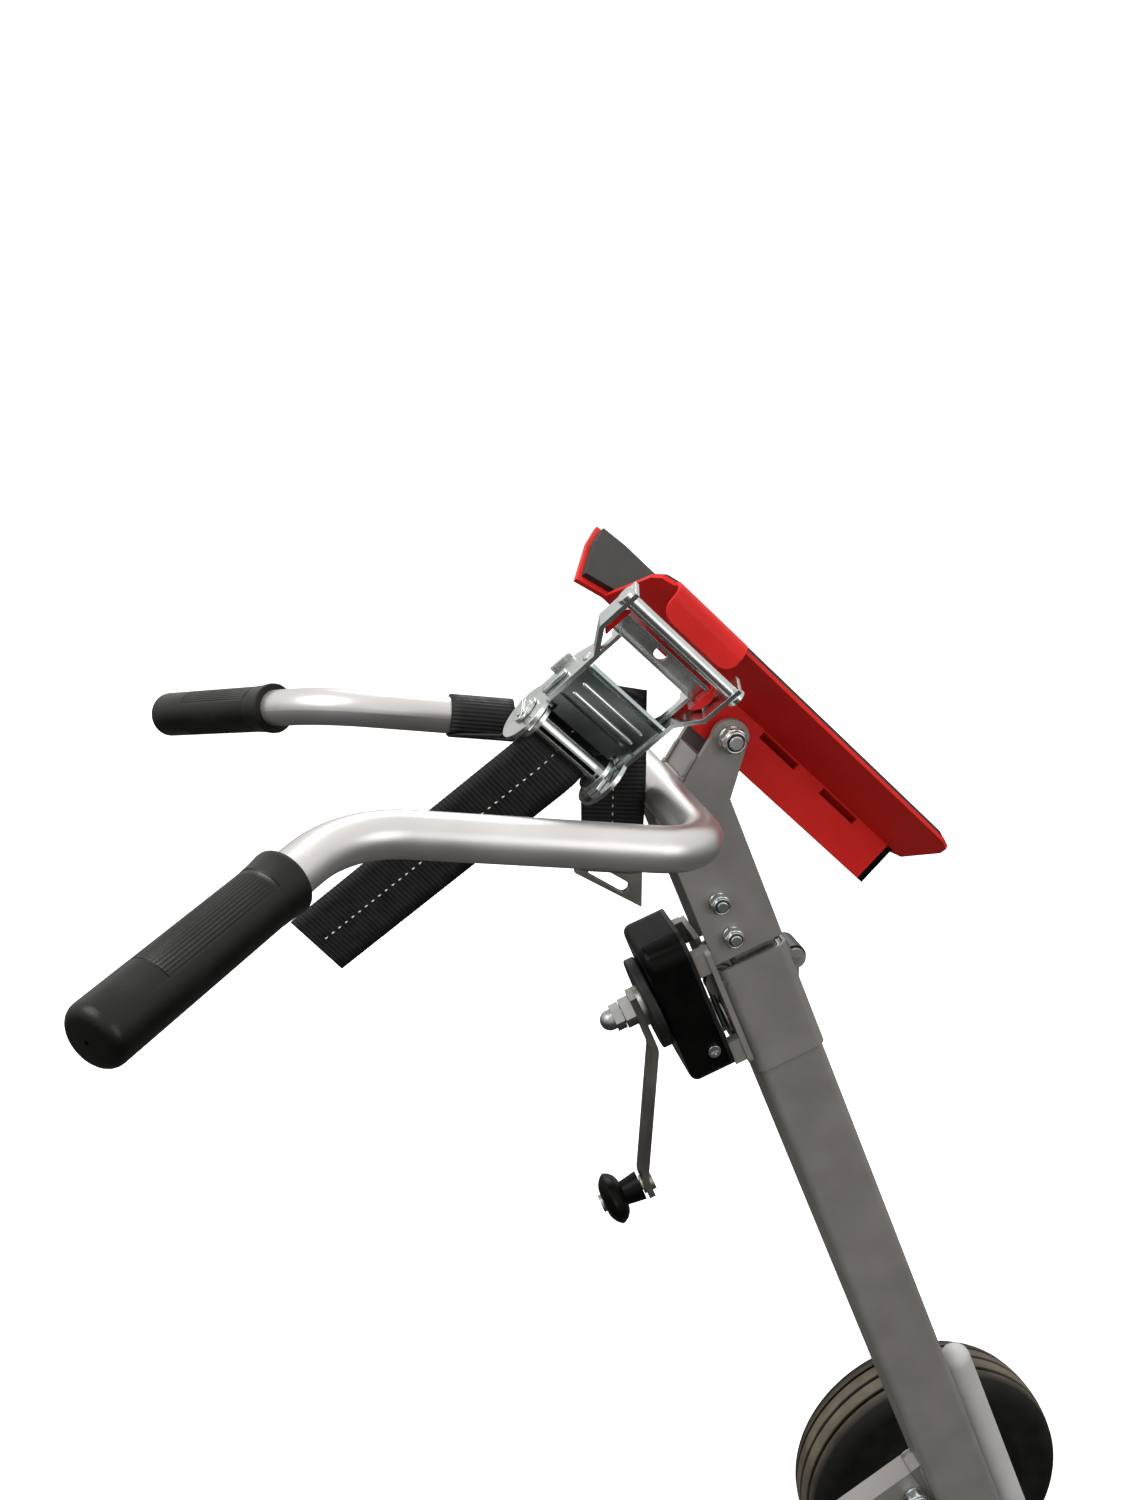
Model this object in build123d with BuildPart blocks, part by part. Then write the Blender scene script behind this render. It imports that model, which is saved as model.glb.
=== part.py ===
from build123d import *
from math import acos, atan2, cos, degrees, pi, radians, sin, tan
import os

# Gas cylinder trolley: a leaning telescopic mast on two wheels and a castor, with a hand winch,
# a handlebar, a swinging V cradle and a webbing strap with a ratchet buckle.
# Millimetres and degrees. +X is the operator's right, +Y forward, +Z up, floor at Z = 0.

# Running gear
wheel_diameter = 260.0
tyre_width = 72.0
tyre_crown = 5.0
tread_groove_width = 4.0
tread_groove_depth = 5.0
tread_groove_pitch = 15.0
rim_diameter = 124.0
rim_lip = 9.0
rim_sheet = 3.0
hub_diameter = 36.0
hub_overhang = 3.0
wheel_track = 338.0
axle_diameter = 20.0
axle_tube_diameter = 34.0
axle_washer = 2.4
axle_cap_length = 12.0
axle_cap_diameter = 34.0
axle_ahead = 280.0
end_float = 0.3

# Mast
mast_lean = 22.3
mast_size = 50.0
mast_wall = 2.5
mast_corner = 5.0
mast_foot = -40.0
collar_wall = 2.0
collar_length = 88.0
collar_rise = 2.0
inner_width = 42.0
inner_depth = 34.0
inner_wall = 3.0
inner_corner = 3.0
inner_forward = 4.0
inner_foot = 215.0
inner_drop = 33.0
slide_gap = 0.3
liner_length = 80.0
shoe_height = 20.0
shoe_plug = 25.0
running_gap = 0.05
pin_fit = 0.02

# Lower cylinder rest and rear strut
rest_tube_diameter = 24.0
rest_tube_top = 296.0
rest_tube_foot = -30.0
rest_tube_wall = 2.0
strut_drop = 33.6
strut_width = 20.0
strut_height = 45.0
strut_wall = 2.0
strut_bolt_behind = -106.0
strut_bolt_height = 284.0
strut_bolt_pitch = 42.0
strut_start = -9.0
tongue_reach = 62.0
bolt_m10 = 10.0

# Castor
castor_plate_height = 115.0
castor_plate_thickness = 6.0
castor_plate_length = 96.0
castor_plate_width = 56.0
castor_behind = -362.0
castor_race_height = 8.0
castor_race_diameter = 44.0
castor_wheel_diameter = 80.0
castor_wheel_width = 28.0
castor_trail = 28.0
castor_fork_sheet = 3.0
castor_side_gap = 1.5
castor_axle_diameter = 8.0
castor_stem_diameter = 12.0

# Fork head and pivot
pivot_rise = 15.0
pivot_forward = 41.0
fork_plate = 5.0
fork_depth = 52.0
fork_length = 135.0
fork_lift = 9.0
shoulder_drop = 40.0
lug_radius = 13.0
fork_web = 4.0
web_drop = 3.0
clamp_rise = 16.0
clamp_pitch = 28.0
clamp_back = -7.7
bolt_m8 = 8.0

# Handlebar
bar_diameter = 28.0
bar_wall = 2.0
bar_back = -15.0
bar_height = 860.0
bar_half_width = 142.0
bar_rise = 7.7
arm_length = 217.0
arm_bend = 36.0
grip_splay = 50.3
grip_drop = 11.5
grip_run = 194.0
grip_bend = 70.0
grip_length = 138.0
grip_diameter = 35.6
grip_flange = 43.0
grip_flange_length = 5.0
grip_end_wall = 4.0
eye_plate = 4.0
eye_plate_back = -131.0
eye_plate_front = -91.0
eye_plate_rear_depth = 17.0
eye_plate_front_depth = 36.0
eye_slot_length = 28.0
eye_slot_width = 7.0
eye_slot_depth = 19.2

# Winch
winch_drop = 9.0
winch_plate = 4.0
winch_plate_width = 66.0
winch_plate_below = 62.0
winch_plate_above = 35.0
post_length = 9.0
post_size = 9.0
post_above = 26.0
post_below = 49.0
post_side = 27.0
base_sheet = 3.0
cover_half_height = 56.5
cover_drop = 5.0
cover_width = 68.0
cover_depth = 30.0
cover_wall = 2.5
cover_corner = 16.0
cover_step_below = 17.0
cover_step_in = 2.0
cover_round = 6.0
shaft_diameter = 12.0
gear_module = 1.5
pinion_teeth = 15
gear_teeth = 30
gear_width = 9.0
gear_start = 49.0
gear_backlash = 0.35
drum_core = 13.0
drum_flange = 22.0
drum_flange_sheet = 1.5
drum_shaft = 10.0
ratchet_disc_radius = 29.0
ratchet_disc_teeth = 18
ratchet_disc_depth = 4.0
ratchet_disc_sheet = 5.0
ratchet_disc_start = 60.0
pawl_side = -18.0
pawl_above = 42.0
pawl_pin = 6.0
brake_diameter = 68.0
brake_thickness = 8.0
brake_gap = 1.0
crank_washer = 3.0
crank_washer_diameter = 30.0
crank_width = 18.0
crank_thickness = 5.0
crank_head = 12.0
crank_drop = 34.0
crank_throw = 137.0
crank_foot_back = 133.0
crank_end = 8.0
crank_bend = 14.0
crank_nut_flats = 19.0
crank_nut_height = 8.0
acorn_length = 17.0
knob_cap_diameter = 39.0
knob_neck_diameter = 22.0
knob_length = 30.0
knob_cap_length = 14.0
knob_bolt = 8.0
screw_below = 39.0
screw_back = 51.0
screw_head = 9.0
screw_thread = 4.0
screw_length = 6.5

# Lifting rope, pulley and guide roller
rope_diameter = 4.0
rope_side = 15.5
pulley_pitch = 9.5
pulley_flange = 11.5
pulley_width = 8.0
pulley_drop = 8.0
pulley_pin = 6.0
pulley_slot = 11.0
pulley_pin_half = 12.0
rope_clear = 0.3
guide_radius = 9.0
guide_length = 24.0
guide_drop = 20.0
guide_pin = 5.0
guide_cheek = 3.0
cheek_reach = 16.0
slot_over = 10.0

# Cradle
cradle_lean = 46.7
beam_width = 30.0
beam_back = -12.0
beam_front = 19.0
beam_wall = 2.5
beam_top = 30.0
beam_foot = -150.0
beam_cap = 5.0
plate_sheet = 3.0
plate_fold = 11.0
plate_splay = 30.0
plate_width = 68.0
plate_top = 124.0
plate_foot = -164.0
plate_round = 12.0
plate_foot_cut = 24.0
plate_foot_run = 18.0
ear_rise = 24.0
ear_inset = 10.0
ear_outer = 38.0
liner_sheet = 4.0
liner_margin = 3.0
tab_top = 112.0
tab_length = 60.0
tab_bend = 8.0
tab_turn = 118.0
tab_flap = 12.0
tab_round = 10.0
pivot_bush_diameter = 16.0

# Ratchet buckle and webbing
buckle_side = 58.0
buckle_back = -73.0
buckle_up = 94.0
buckle_angle = 18.5
spindle_diameter = 13.0
spindle_slot = 3.0
webbing_width = 48.0
webbing_thickness = 2.0
base_inner = 51.0
buckle_sheet = 3.0
tooth_disc_radius = 16.5
tooth_disc_depth = 3.5
tooth_disc_teeth = 11
handle_reach = 98.5
handle_round = 21.0
handle_end = 6.5
handle_depth = 18.0
handle_cheek = 17.0
handle_cheek_end = 44.0
handle_flare_start = 60.0
handle_flare_end = 76.0
handle_grip_half = 46.0
handle_bar_diameter = 9.0
handle_bar_flange = 12.5
handle_bar_lift = 4.0
base_round = 14.0
side_clear = 0.4
pull_half = 36.0
pull_hole = 9.0
strap_bolt_reach = 34.0
strap_bolt_inset = 24.0
strap_bolt = 8.0
rivet_head = 1.5
tail_clear = 4.0
tail_length = 205.0
tail_drop = -8.0
tail_skew = 5.7
hang_foot = -98.0
hang_knee = -20.0
hang_centre = -80.5
hang_side = 28.0
hang_clear = 14.0
loop_back = -144.0

wheel_radius = wheel_diameter / 2

# Heights along the mast above the axle: the whole head follows the handlebar.
pivot_height = bar_height + pivot_rise
inner_top = bar_height - inner_drop
fork_foot = bar_height - fork_length
fork_shoulder = pivot_height - shoulder_drop
web_top = pivot_height - web_drop
clamp_lower = fork_foot + clamp_rise
clamp_upper = clamp_lower + clamp_pitch
mast_top = fork_foot - fork_lift
collar_top = mast_top + collar_rise
pulley_height = mast_top - pulley_drop
guide_height = mast_top - guide_drop
winch_height = mast_top - winch_drop
winch_plate_bottom = winch_height - winch_plate_below
winch_plate_top = winch_height + winch_plate_above
cover_middle = winch_height - cover_drop
cover_step = winch_height - cover_step_below
screw_height = winch_height - screw_below
crank_foot = winch_height - crank_throw


# A frame that leans back by an angle: X to the right, Y forward off its face, Z up along it.
def leaning(origin, lean):
    tilt = radians(lean)
    return Plane(origin=origin, x_dir=(1, 0, 0), z_dir=(0, -sin(tilt), cos(tilt)))


def spot(frame, x, y, z):
    return frame.from_local_coords((x, y, z))


# Sketch planes in a frame: across it, facing its rear, and facing its right side.
def level(frame, z, x=0.0, y=0.0):
    return Plane(origin=spot(frame, x, y, z), x_dir=frame.x_dir, z_dir=frame.z_dir)


def rearward(frame, y, x=0.0, z=0.0):
    return Plane(origin=spot(frame, x, y, z), x_dir=frame.x_dir, z_dir=frame.y_dir * -1)


def sideways(frame, x, y=0.0, z=0.0):
    return Plane(origin=spot(frame, x, y, z), x_dir=frame.y_dir, z_dir=frame.x_dir)


axle = Plane(origin=(0, axle_ahead, wheel_radius), x_dir=(1, 0, 0), z_dir=(0, 0, 1))
mast = leaning((0, axle_ahead, wheel_radius), mast_lean)
pivot = spot(mast, 0, pivot_forward, pivot_height)
cradle = leaning(pivot, cradle_lean)
upright = Plane(origin=pivot, x_dir=(1, 0, 0), z_dir=(0, 0, 1))


# Round, ring, six-sided and square bars standing on a plane.
def rod(plane, diameter, length):
    with BuildPart() as piece:
        with BuildSketch(plane):
            Circle(diameter / 2)
        extrude(amount=length)
    return piece.part


def ring(plane, outer, inner, length):
    with BuildPart() as piece:
        with BuildSketch(plane):
            Circle(outer / 2)
            Circle(inner / 2, mode=Mode.SUBTRACT)
        extrude(amount=length)
    return piece.part


def hexagon(plane, flats, length):
    with BuildPart() as piece:
        with BuildSketch(plane):
            RegularPolygon(radius=flats / 2, side_count=6, major_radius=False)
        extrude(amount=length)
    return piece.part


def block(plane, width, height, length):
    with BuildPart() as piece:
        with BuildSketch(plane):
            Rectangle(width, height)
        extrude(amount=length)
    return piece.part


def polygon_bar(plane, points, length):
    with BuildPart() as piece:
        with BuildSketch(plane):
            with BuildLine():
                Polyline(*points, close=True)
            make_face()
        extrude(amount=length)
    return piece.part


# A cross bolt through a frame along X: head on the left, self-locking nut on the right.
def cross_bolt(frame, y, z, diameter, grip, washer):
    start = -grip / 2
    head = 0.65 * diameter
    flats = 1.65 * diameter
    with BuildPart() as piece:
        add(hexagon(sideways(frame, start - washer - head, y, z), flats, head))
        add(ring(sideways(frame, start - washer, y, z), 2.1 * diameter, diameter, washer))
        add(rod(sideways(frame, start - washer, y, z), diameter, grip + 2 * washer + 1.15 * diameter))
        add(ring(sideways(frame, -start, y, z), 2.1 * diameter, diameter, washer))
        add(hexagon(sideways(frame, -start + washer, y, z), flats, 0.75 * diameter))
        add(rod(sideways(frame, -start + washer, y, z), 1.45 * diameter, diameter))
    return piece.part


# Outline of a toothed wheel with involute flanks; a tooth stands on the turned X axis.
def gear_points(teeth, module, backlash, turn):
    pitch = teeth * module / 2
    base = pitch * cos(radians(20))
    tip = pitch + 0.9 * module
    root = pitch - 1.15 * module
    flare = tan(radians(20)) - radians(20)
    half = pi / (2 * teeth) - backlash / (4 * pitch)
    points = []
    for tooth in range(teeth):
        middle = radians(turn) + 2 * pi * tooth / teeth
        flank = []
        for step in range(5):
            radius = max(base, root) + (tip - max(base, root)) * step / 4
            angle = acos(min(1.0, base / radius))
            flank.append((radius, half + flare - (tan(angle) - angle)))
        outline = [(root, -flank[0][1])]
        outline += [(radius, -spread) for radius, spread in flank]
        outline += [(radius, spread) for radius, spread in reversed(flank)]
        outline.append((root, flank[0][1]))
        points += [(r * cos(middle + a), r * sin(middle + a)) for r, a in outline if r > 0]
    return points


# Outline of a saw-toothed wheel.
def saw_points(teeth, radius, depth, turn):
    points = []
    for tooth in range(teeth):
        start = radians(turn) + 2 * pi * tooth / teeth
        points.append((radius * cos(start), radius * sin(start)))
        points.append(((radius - depth) * cos(start + 0.04), (radius - depth) * sin(start + 0.04)))
    return points


# Wheels: a solid rubber tyre with round grooves on a zinc steel rim with a plain hub.
def wheel_plane(x):
    return Plane(origin=(x, axle_ahead, wheel_radius), x_dir=(1, 0, 0), z_dir=(0, -1, 0))


def tyre(x):
    half = tyre_width / 2
    bead = rim_diameter / 2
    with BuildPart() as piece:
        with BuildSketch(wheel_plane(x)):
            with BuildLine():
                Line((-half + rim_sheet, bead), (half - rim_sheet, bead))
                Line((half - rim_sheet, bead), (half - rim_sheet, bead + rim_lip))
                Line((half - rim_sheet, bead + rim_lip), (half, bead + 24))
                Line((half, bead + 24), (half, wheel_radius - 20))
                ThreePointArc(
                    (half, wheel_radius - 20),
                    (half - 4, wheel_radius - tyre_crown - 4),
                    (half - 14, wheel_radius - tyre_crown + 2),
                )
                ThreePointArc(
                    (half - 14, wheel_radius - tyre_crown + 2),
                    (0, wheel_radius),
                    (-half + 14, wheel_radius - tyre_crown + 2),
                )
                ThreePointArc(
                    (-half + 14, wheel_radius - tyre_crown + 2),
                    (-half + 4, wheel_radius - tyre_crown - 4),
                    (-half, wheel_radius - 20),
                )
                Line((-half, wheel_radius - 20), (-half, bead + 24))
                Line((-half, bead + 24), (-half + rim_sheet, bead + rim_lip))
                Line((-half + rim_sheet, bead + rim_lip), (-half + rim_sheet, bead))
            make_face()
            with Locations(*[(side * tread_groove_pitch, wheel_radius) for side in (-1, 0, 1)]):
                Rectangle(tread_groove_width, 2 * tread_groove_depth, mode=Mode.SUBTRACT)
        revolve(axis=Axis((x, axle_ahead, wheel_radius), (1, 0, 0)))
    return piece.part


def rim(x):
    half = tyre_width / 2
    barrel = rim_diameter / 2
    bore = axle_diameter / 2 + running_gap
    hub = hub_diameter / 2
    hub_half = half + hub_overhang
    with BuildPart() as piece:
        with BuildSketch(wheel_plane(x)):
            with Locations((0, (bore + hub) / 2)):
                Rectangle(2 * hub_half, hub - bore)
            with Locations((0, (hub + barrel) / 2 - rim_sheet / 2)):
                Rectangle(rim_sheet, barrel - hub)
            with Locations((0, barrel - rim_sheet / 2)):
                Rectangle(2 * half, rim_sheet)
            lip = rim_lip + rim_sheet
            for side in (-1, 1):
                with Locations((side * (half - rim_sheet / 2), barrel - rim_sheet + lip / 2)):
                    Rectangle(rim_sheet, lip)
        revolve(axis=Axis((x, axle_ahead, wheel_radius), (1, 0, 0)))
    return piece.part


with BuildPart() as tyre_right:
    add(tyre(wheel_track / 2))
with BuildPart() as tyre_left:
    add(tyre(-wheel_track / 2))
with BuildPart() as rim_right:
    add(rim(wheel_track / 2))
with BuildPart() as rim_left:
    add(rim(-wheel_track / 2))

# Axle: a steel rod in a cross tube, with spacer washers inside and round end caps outside the hubs.
hub_end = wheel_track / 2 + tyre_width / 2 + hub_overhang
hub_start = wheel_track / 2 - tyre_width / 2 - hub_overhang
tube_end = hub_start - 2 * end_float - axle_washer
axle_end = hub_end + end_float + axle_cap_length - 3
axle_bore = axle_diameter + 2 * running_gap

with BuildPart() as wheel_axle:
    add(rod(sideways(axle, -axle_end), axle_diameter, 2 * axle_end))

with BuildPart() as axle_tube:
    add(ring(sideways(axle, -tube_end), axle_tube_diameter, axle_bore, 2 * tube_end))

with BuildPart() as axle_caps:
    for side in (-1, 1):
        washer_start = side * (tube_end + end_float / 2 + axle_washer / 2) - axle_washer / 2
        add(ring(sideways(axle, washer_start), axle_tube_diameter, axle_bore, axle_washer))
        cap_start = side * (hub_end + end_float + axle_cap_length / 2) - axle_cap_length / 2
        add(rod(sideways(axle, cap_start), axle_cap_diameter, axle_cap_length))
    with BuildSketch(sideways(axle, -axle_end)):
        Circle(axle_diameter / 2 + pin_fit)
    extrude(amount=2 * axle_end, mode=Mode.SUBTRACT)

# Outer mast: square tube through which the axle tube passes; slots at the top for pulley and roller.
mast_half = mast_size / 2
mast_inside = mast_half - mast_wall
collar_half = mast_half + collar_wall
inner_back = inner_forward - inner_depth / 2
inner_front = inner_forward + inner_depth / 2
rope_inside = inner_back - rope_clear - rope_diameter / 2 - 1
pulley_back = rope_inside - pulley_pitch
guide_forward = inner_front + slide_gap + guide_radius
slot_foot = pulley_height - pulley_flange - 3
guide_foot = guide_height - guide_radius - 2

with BuildPart() as pulley_way:
    pulley_rise = winch_plate_top + slot_over - slot_foot
    way = level(mast, slot_foot, rope_side, pulley_back)
    add(block(way, pulley_slot, 2 * pulley_flange + 2, pulley_rise))
    pin_way = sideways(mast, rope_side - pulley_pin_half, pulley_back, pulley_height)
    add(rod(pin_way, pulley_pin + 2 * pin_fit, 2 * pulley_pin_half))

with BuildPart() as guide_way:
    guide_rise = collar_top + slot_over - guide_foot
    way = level(mast, guide_foot, 0, guide_forward)
    add(block(way, guide_length + 2, 2 * guide_radius + 2, guide_rise))
    pin_way = sideways(mast, -guide_length, guide_forward, guide_height)
    add(rod(pin_way, guide_pin + 2 * pin_fit, 2 * guide_length))

with BuildPart() as outer_mast:
    with BuildSketch(level(mast, mast_foot)):
        RectangleRounded(mast_size, mast_size, mast_corner)
        RectangleRounded(2 * mast_inside, 2 * mast_inside, mast_corner - mast_wall, mode=Mode.SUBTRACT)
    extrude(amount=mast_top - mast_foot)
    add(rod(sideways(axle, -mast_size), axle_tube_diameter, 2 * mast_size), mode=Mode.SUBTRACT)
    add(pulley_way.part, mode=Mode.SUBTRACT)
    add(guide_way.part, mode=Mode.SUBTRACT)

with BuildPart() as mast_collar:
    with BuildSketch(level(mast, collar_top - collar_length)):
        RectangleRounded(2 * collar_half, 2 * collar_half, mast_corner + collar_wall)
        RectangleRounded(mast_size, mast_size, mast_corner, mode=Mode.SUBTRACT)
    extrude(amount=collar_length)
    add(pulley_way.part, mode=Mode.SUBTRACT)
    add(guide_way.part, mode=Mode.SUBTRACT)

# Lower cylinder rest: a round tube along the mast's front face with a domed top.
rest_forward = mast_half + rest_tube_diameter / 2
rest_radius = rest_tube_diameter / 2
rest_bore = rest_radius - rest_tube_wall
rest_dome = rest_tube_top - rest_radius
eighth = cos(radians(45))

with BuildPart() as cylinder_rest_tube:
    with BuildSketch(sideways(mast, 0, rest_forward)):
        with BuildLine():
            Line((0, rest_tube_top), (0, rest_tube_top - rest_tube_wall))
            ThreePointArc(
                (0, rest_dome + rest_bore),
                (rest_bore * eighth, rest_dome + rest_bore * eighth),
                (rest_bore, rest_dome),
            )
            Polyline((rest_bore, rest_dome), (rest_bore, rest_tube_foot), (rest_radius, rest_tube_foot))
            Line((rest_radius, rest_tube_foot), (rest_radius, rest_dome))
            ThreePointArc(
                (rest_radius, rest_dome),
                (rest_radius * eighth, rest_dome + rest_radius * eighth),
                (0, rest_tube_top),
            )
        make_face()
    revolve(axis=Axis(spot(mast, 0, rest_forward, 0), mast.z_dir))

# Rear strut: a flat tube bolted over a tongue on the mast, running down to the castor plate.
drop = radians(strut_drop)
strut = Plane(
    origin=(0, axle_ahead + strut_bolt_behind, strut_bolt_height),
    x_dir=(1, 0, 0),
    z_dir=(0, -cos(drop), -sin(drop)),
)


def strut_to_height(y, height):
    return (strut_bolt_height + y * cos(drop) - height) / sin(drop)


def strut_to_mast(y):
    start = spot(strut, 0, y, 0) - spot(mast, 0, -mast_half, 0)
    return -start.dot(mast.y_dir) / strut.z_dir.dot(mast.y_dir)


strut_half = strut_height / 2
strut_in = strut_half - strut_wall
tongue_half = strut_in - slide_gap

with BuildPart() as strut_bolt_way:
    for along in (0, strut_bolt_pitch):
        add(rod(sideways(strut, -strut_width, 0, along), bolt_m10 + 2 * pin_fit, 2 * strut_width))

with BuildPart() as support_strut:
    add(
        polygon_bar(
            sideways(strut, -strut_width / 2),
            [
                (-strut_half, strut_start),
                (strut_half, strut_start),
                (strut_half, strut_to_height(strut_half, castor_plate_height)),
                (-strut_half, strut_to_height(-strut_half, castor_plate_height)),
            ],
            strut_width,
        )
    )
    add(
        polygon_bar(
            sideways(strut, -strut_width / 2 + strut_wall),
            [
                (-strut_in, strut_start - 1),
                (strut_in, strut_start - 1),
                (strut_in, strut_to_height(strut_in, castor_plate_height - 1)),
                (-strut_in, strut_to_height(-strut_in, castor_plate_height - 1)),
            ],
            strut_width - 2 * strut_wall,
        ),
        mode=Mode.SUBTRACT,
    )
    add(strut_bolt_way.part, mode=Mode.SUBTRACT)

tongue_width = strut_width - 2 * strut_wall - 2 * slide_gap

with BuildPart() as strut_tongue:
    add(
        polygon_bar(
            sideways(strut, -tongue_width / 2),
            [
                (-tongue_half, strut_to_mast(-tongue_half)),
                (tongue_half, strut_to_mast(tongue_half)),
                (tongue_half, tongue_reach),
                (-tongue_half, tongue_reach),
            ],
            tongue_width,
        )
    )
    add(strut_bolt_way.part, mode=Mode.SUBTRACT)

with BuildPart() as strut_bolts:
    for along in (0, strut_bolt_pitch):
        add(cross_bolt(strut, 0, along, bolt_m10, strut_width, 2.0))

# Castor: plate under the strut with its riveted swivel stem, forked housing and a rubber wheel
# that trails the stem.
castor_centre = axle_ahead + castor_behind
race_top = castor_plate_height - castor_plate_thickness
race_foot = race_top - castor_race_height
housing_top = race_foot - end_float
castor_axle_height = castor_wheel_diameter / 2
castor_half = castor_wheel_width / 2 + castor_side_gap
castor = Plane(origin=(0, castor_centre, 0), x_dir=(1, 0, 0), z_dir=(0, 0, 1))


# A plane across the castor wheel's axle at a distance to its right.
def castor_side(x):
    return sideways(castor, x, -castor_trail, castor_axle_height)


with BuildPart() as castor_plate:
    with BuildSketch(level(castor, race_top)):
        RectangleRounded(castor_plate_width, castor_plate_length, 6)
    extrude(amount=castor_plate_thickness)
    add(rod(level(castor, race_foot), castor_race_diameter, castor_race_height))
    stem_foot = housing_top - castor_fork_sheet - 5
    add(rod(level(castor, stem_foot), castor_stem_diameter, castor_plate_height - stem_foot))
    add(rod(level(castor, stem_foot), 22, 5 - end_float))

with BuildPart() as castor_housing:
    with BuildSketch(sideways(castor, -castor_half - castor_fork_sheet)):
        with BuildLine():
            Polyline(
                (castor_race_diameter / 2, housing_top),
                (-castor_race_diameter / 2, housing_top),
                (-castor_trail - 12, castor_axle_height + 4),
                (-castor_trail - 12, castor_axle_height - 12),
                (-castor_trail + 12, castor_axle_height - 12),
                (castor_race_diameter / 2, housing_top - 12),
                close=True,
            )
        make_face()
    extrude(amount=2 * (castor_half + castor_fork_sheet))
    with BuildSketch(sideways(castor, -castor_half)):
        with Locations((-castor_trail / 2, (housing_top - castor_fork_sheet) / 2)):
            Rectangle(200, housing_top - castor_fork_sheet)
    extrude(amount=2 * castor_half, mode=Mode.SUBTRACT)
    add(rod(level(castor, 60), castor_stem_diameter + 2 * running_gap, 60), mode=Mode.SUBTRACT)
    add(rod(castor_side(-60), castor_axle_diameter + 2 * pin_fit, 120), mode=Mode.SUBTRACT)

with BuildPart() as castor_wheel:
    add(rod(castor_side(-castor_wheel_width / 2), castor_wheel_diameter, castor_wheel_width))
    fillet(castor_wheel.edges().filter_by(GeomType.CIRCLE), radius=5)
    add(rod(castor_side(-20), castor_axle_diameter + 2 * running_gap, 40), mode=Mode.SUBTRACT)

with BuildPart() as castor_axle:
    grip_over = 2 * (castor_half + castor_fork_sheet)
    add(cross_bolt(castor, -castor_trail, castor_axle_height, castor_axle_diameter, grip_over, 1.0))

# Inner mast: rectangular tube sliding in the outer mast on a nylon liner and a nylon foot shoe.
with BuildPart() as inner_mast:
    with BuildSketch(level(mast, inner_foot, 0, inner_forward)):
        RectangleRounded(inner_width, inner_depth, inner_corner)
        RectangleRounded(inner_width - 2 * inner_wall, inner_depth - 2 * inner_wall, 1, mode=Mode.SUBTRACT)
    extrude(amount=inner_top - inner_foot)
    for height in (clamp_upper, clamp_lower):
        add(rod(sideways(mast, -40, clamp_back, height), bolt_m8 + 2 * pin_fit, 80), mode=Mode.SUBTRACT)

with BuildPart() as slide_liner:
    with BuildSketch(level(mast, mast_top - liner_length)):
        RectangleRounded(2 * mast_inside, 2 * mast_inside, mast_corner - mast_wall)
        with Locations((0, inner_forward)):
            RectangleRounded(
                inner_width + 2 * slide_gap,
                inner_depth + 2 * slide_gap,
                inner_corner,
                mode=Mode.SUBTRACT,
            )
        with Locations((rope_side, (inner_back - mast_inside) / 2)):
            Rectangle(pulley_slot, mast_inside + inner_back + 2, mode=Mode.SUBTRACT)
    extrude(amount=liner_length)
    add(guide_way.part, mode=Mode.SUBTRACT)

with BuildPart() as slide_shoe:
    shoe_size = 2 * (mast_inside - slide_gap)
    with BuildSketch(level(mast, inner_foot - shoe_height)):
        RectangleRounded(shoe_size, shoe_size, mast_corner - mast_wall)
        with Locations((rope_side, rope_inside)):
            Circle(rope_diameter / 2 + rope_clear, mode=Mode.SUBTRACT)
    extrude(amount=shoe_height)
    with BuildSketch(level(mast, inner_foot, 0, inner_forward)):
        RectangleRounded(inner_width - 2 * inner_wall, inner_depth - 2 * inner_wall, 1)
    extrude(amount=shoe_plug)

# Fork head: two plates clamped on the inner mast, a sloping web between them, lugs for the pivot bolt.
fork_half = inner_width / 2
fork_outer = fork_half + fork_plate
fork_front = fork_depth / 2
bar_radius = bar_diameter / 2
slope_foot = bar_back + bar_radius + 2
slope_rise = (pivot_height + 9 - bar_height) / (pivot_forward - 8 - slope_foot)

with BuildPart() as fork_head:
    for start in (-fork_outer, fork_half):
        with BuildSketch(sideways(mast, start)):
            with BuildLine():
                Polyline(
                    (fork_front, fork_foot),
                    (fork_front, fork_shoulder),
                    (pivot_forward + lug_radius, pivot_height - 4),
                    (pivot_forward - 8, pivot_height + 9),
                    (slope_foot, bar_height),
                    (bar_back, bar_height),
                    (-fork_front, bar_height - 18),
                    (-fork_front, fork_foot),
                    close=True,
                )
            make_face()
            with Locations((pivot_forward, pivot_height)):
                Circle(lug_radius)
        extrude(amount=fork_plate)
    with BuildSketch(sideways(mast, -fork_half)):
        with BuildLine():
            Polyline(
                (slope_foot, bar_height),
                (slope_foot + (web_top - bar_height) / slope_rise, web_top),
                (slope_foot + (web_top - bar_height) / slope_rise + fork_web, web_top - fork_web),
                (slope_foot + fork_web, bar_height - fork_web),
                close=True,
            )
        make_face()
    extrude(amount=inner_width)
    add(rod(sideways(mast, -60, bar_back, bar_height), bar_diameter, 120), mode=Mode.SUBTRACT)
    pivot_side = sideways(mast, -60, pivot_forward, pivot_height)
    add(rod(pivot_side, bolt_m10 + 2 * pin_fit, 120), mode=Mode.SUBTRACT)
    for height in (clamp_upper, clamp_lower):
        add(rod(sideways(mast, -60, clamp_back, height), bolt_m8 + 2 * pin_fit, 120), mode=Mode.SUBTRACT)

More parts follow.
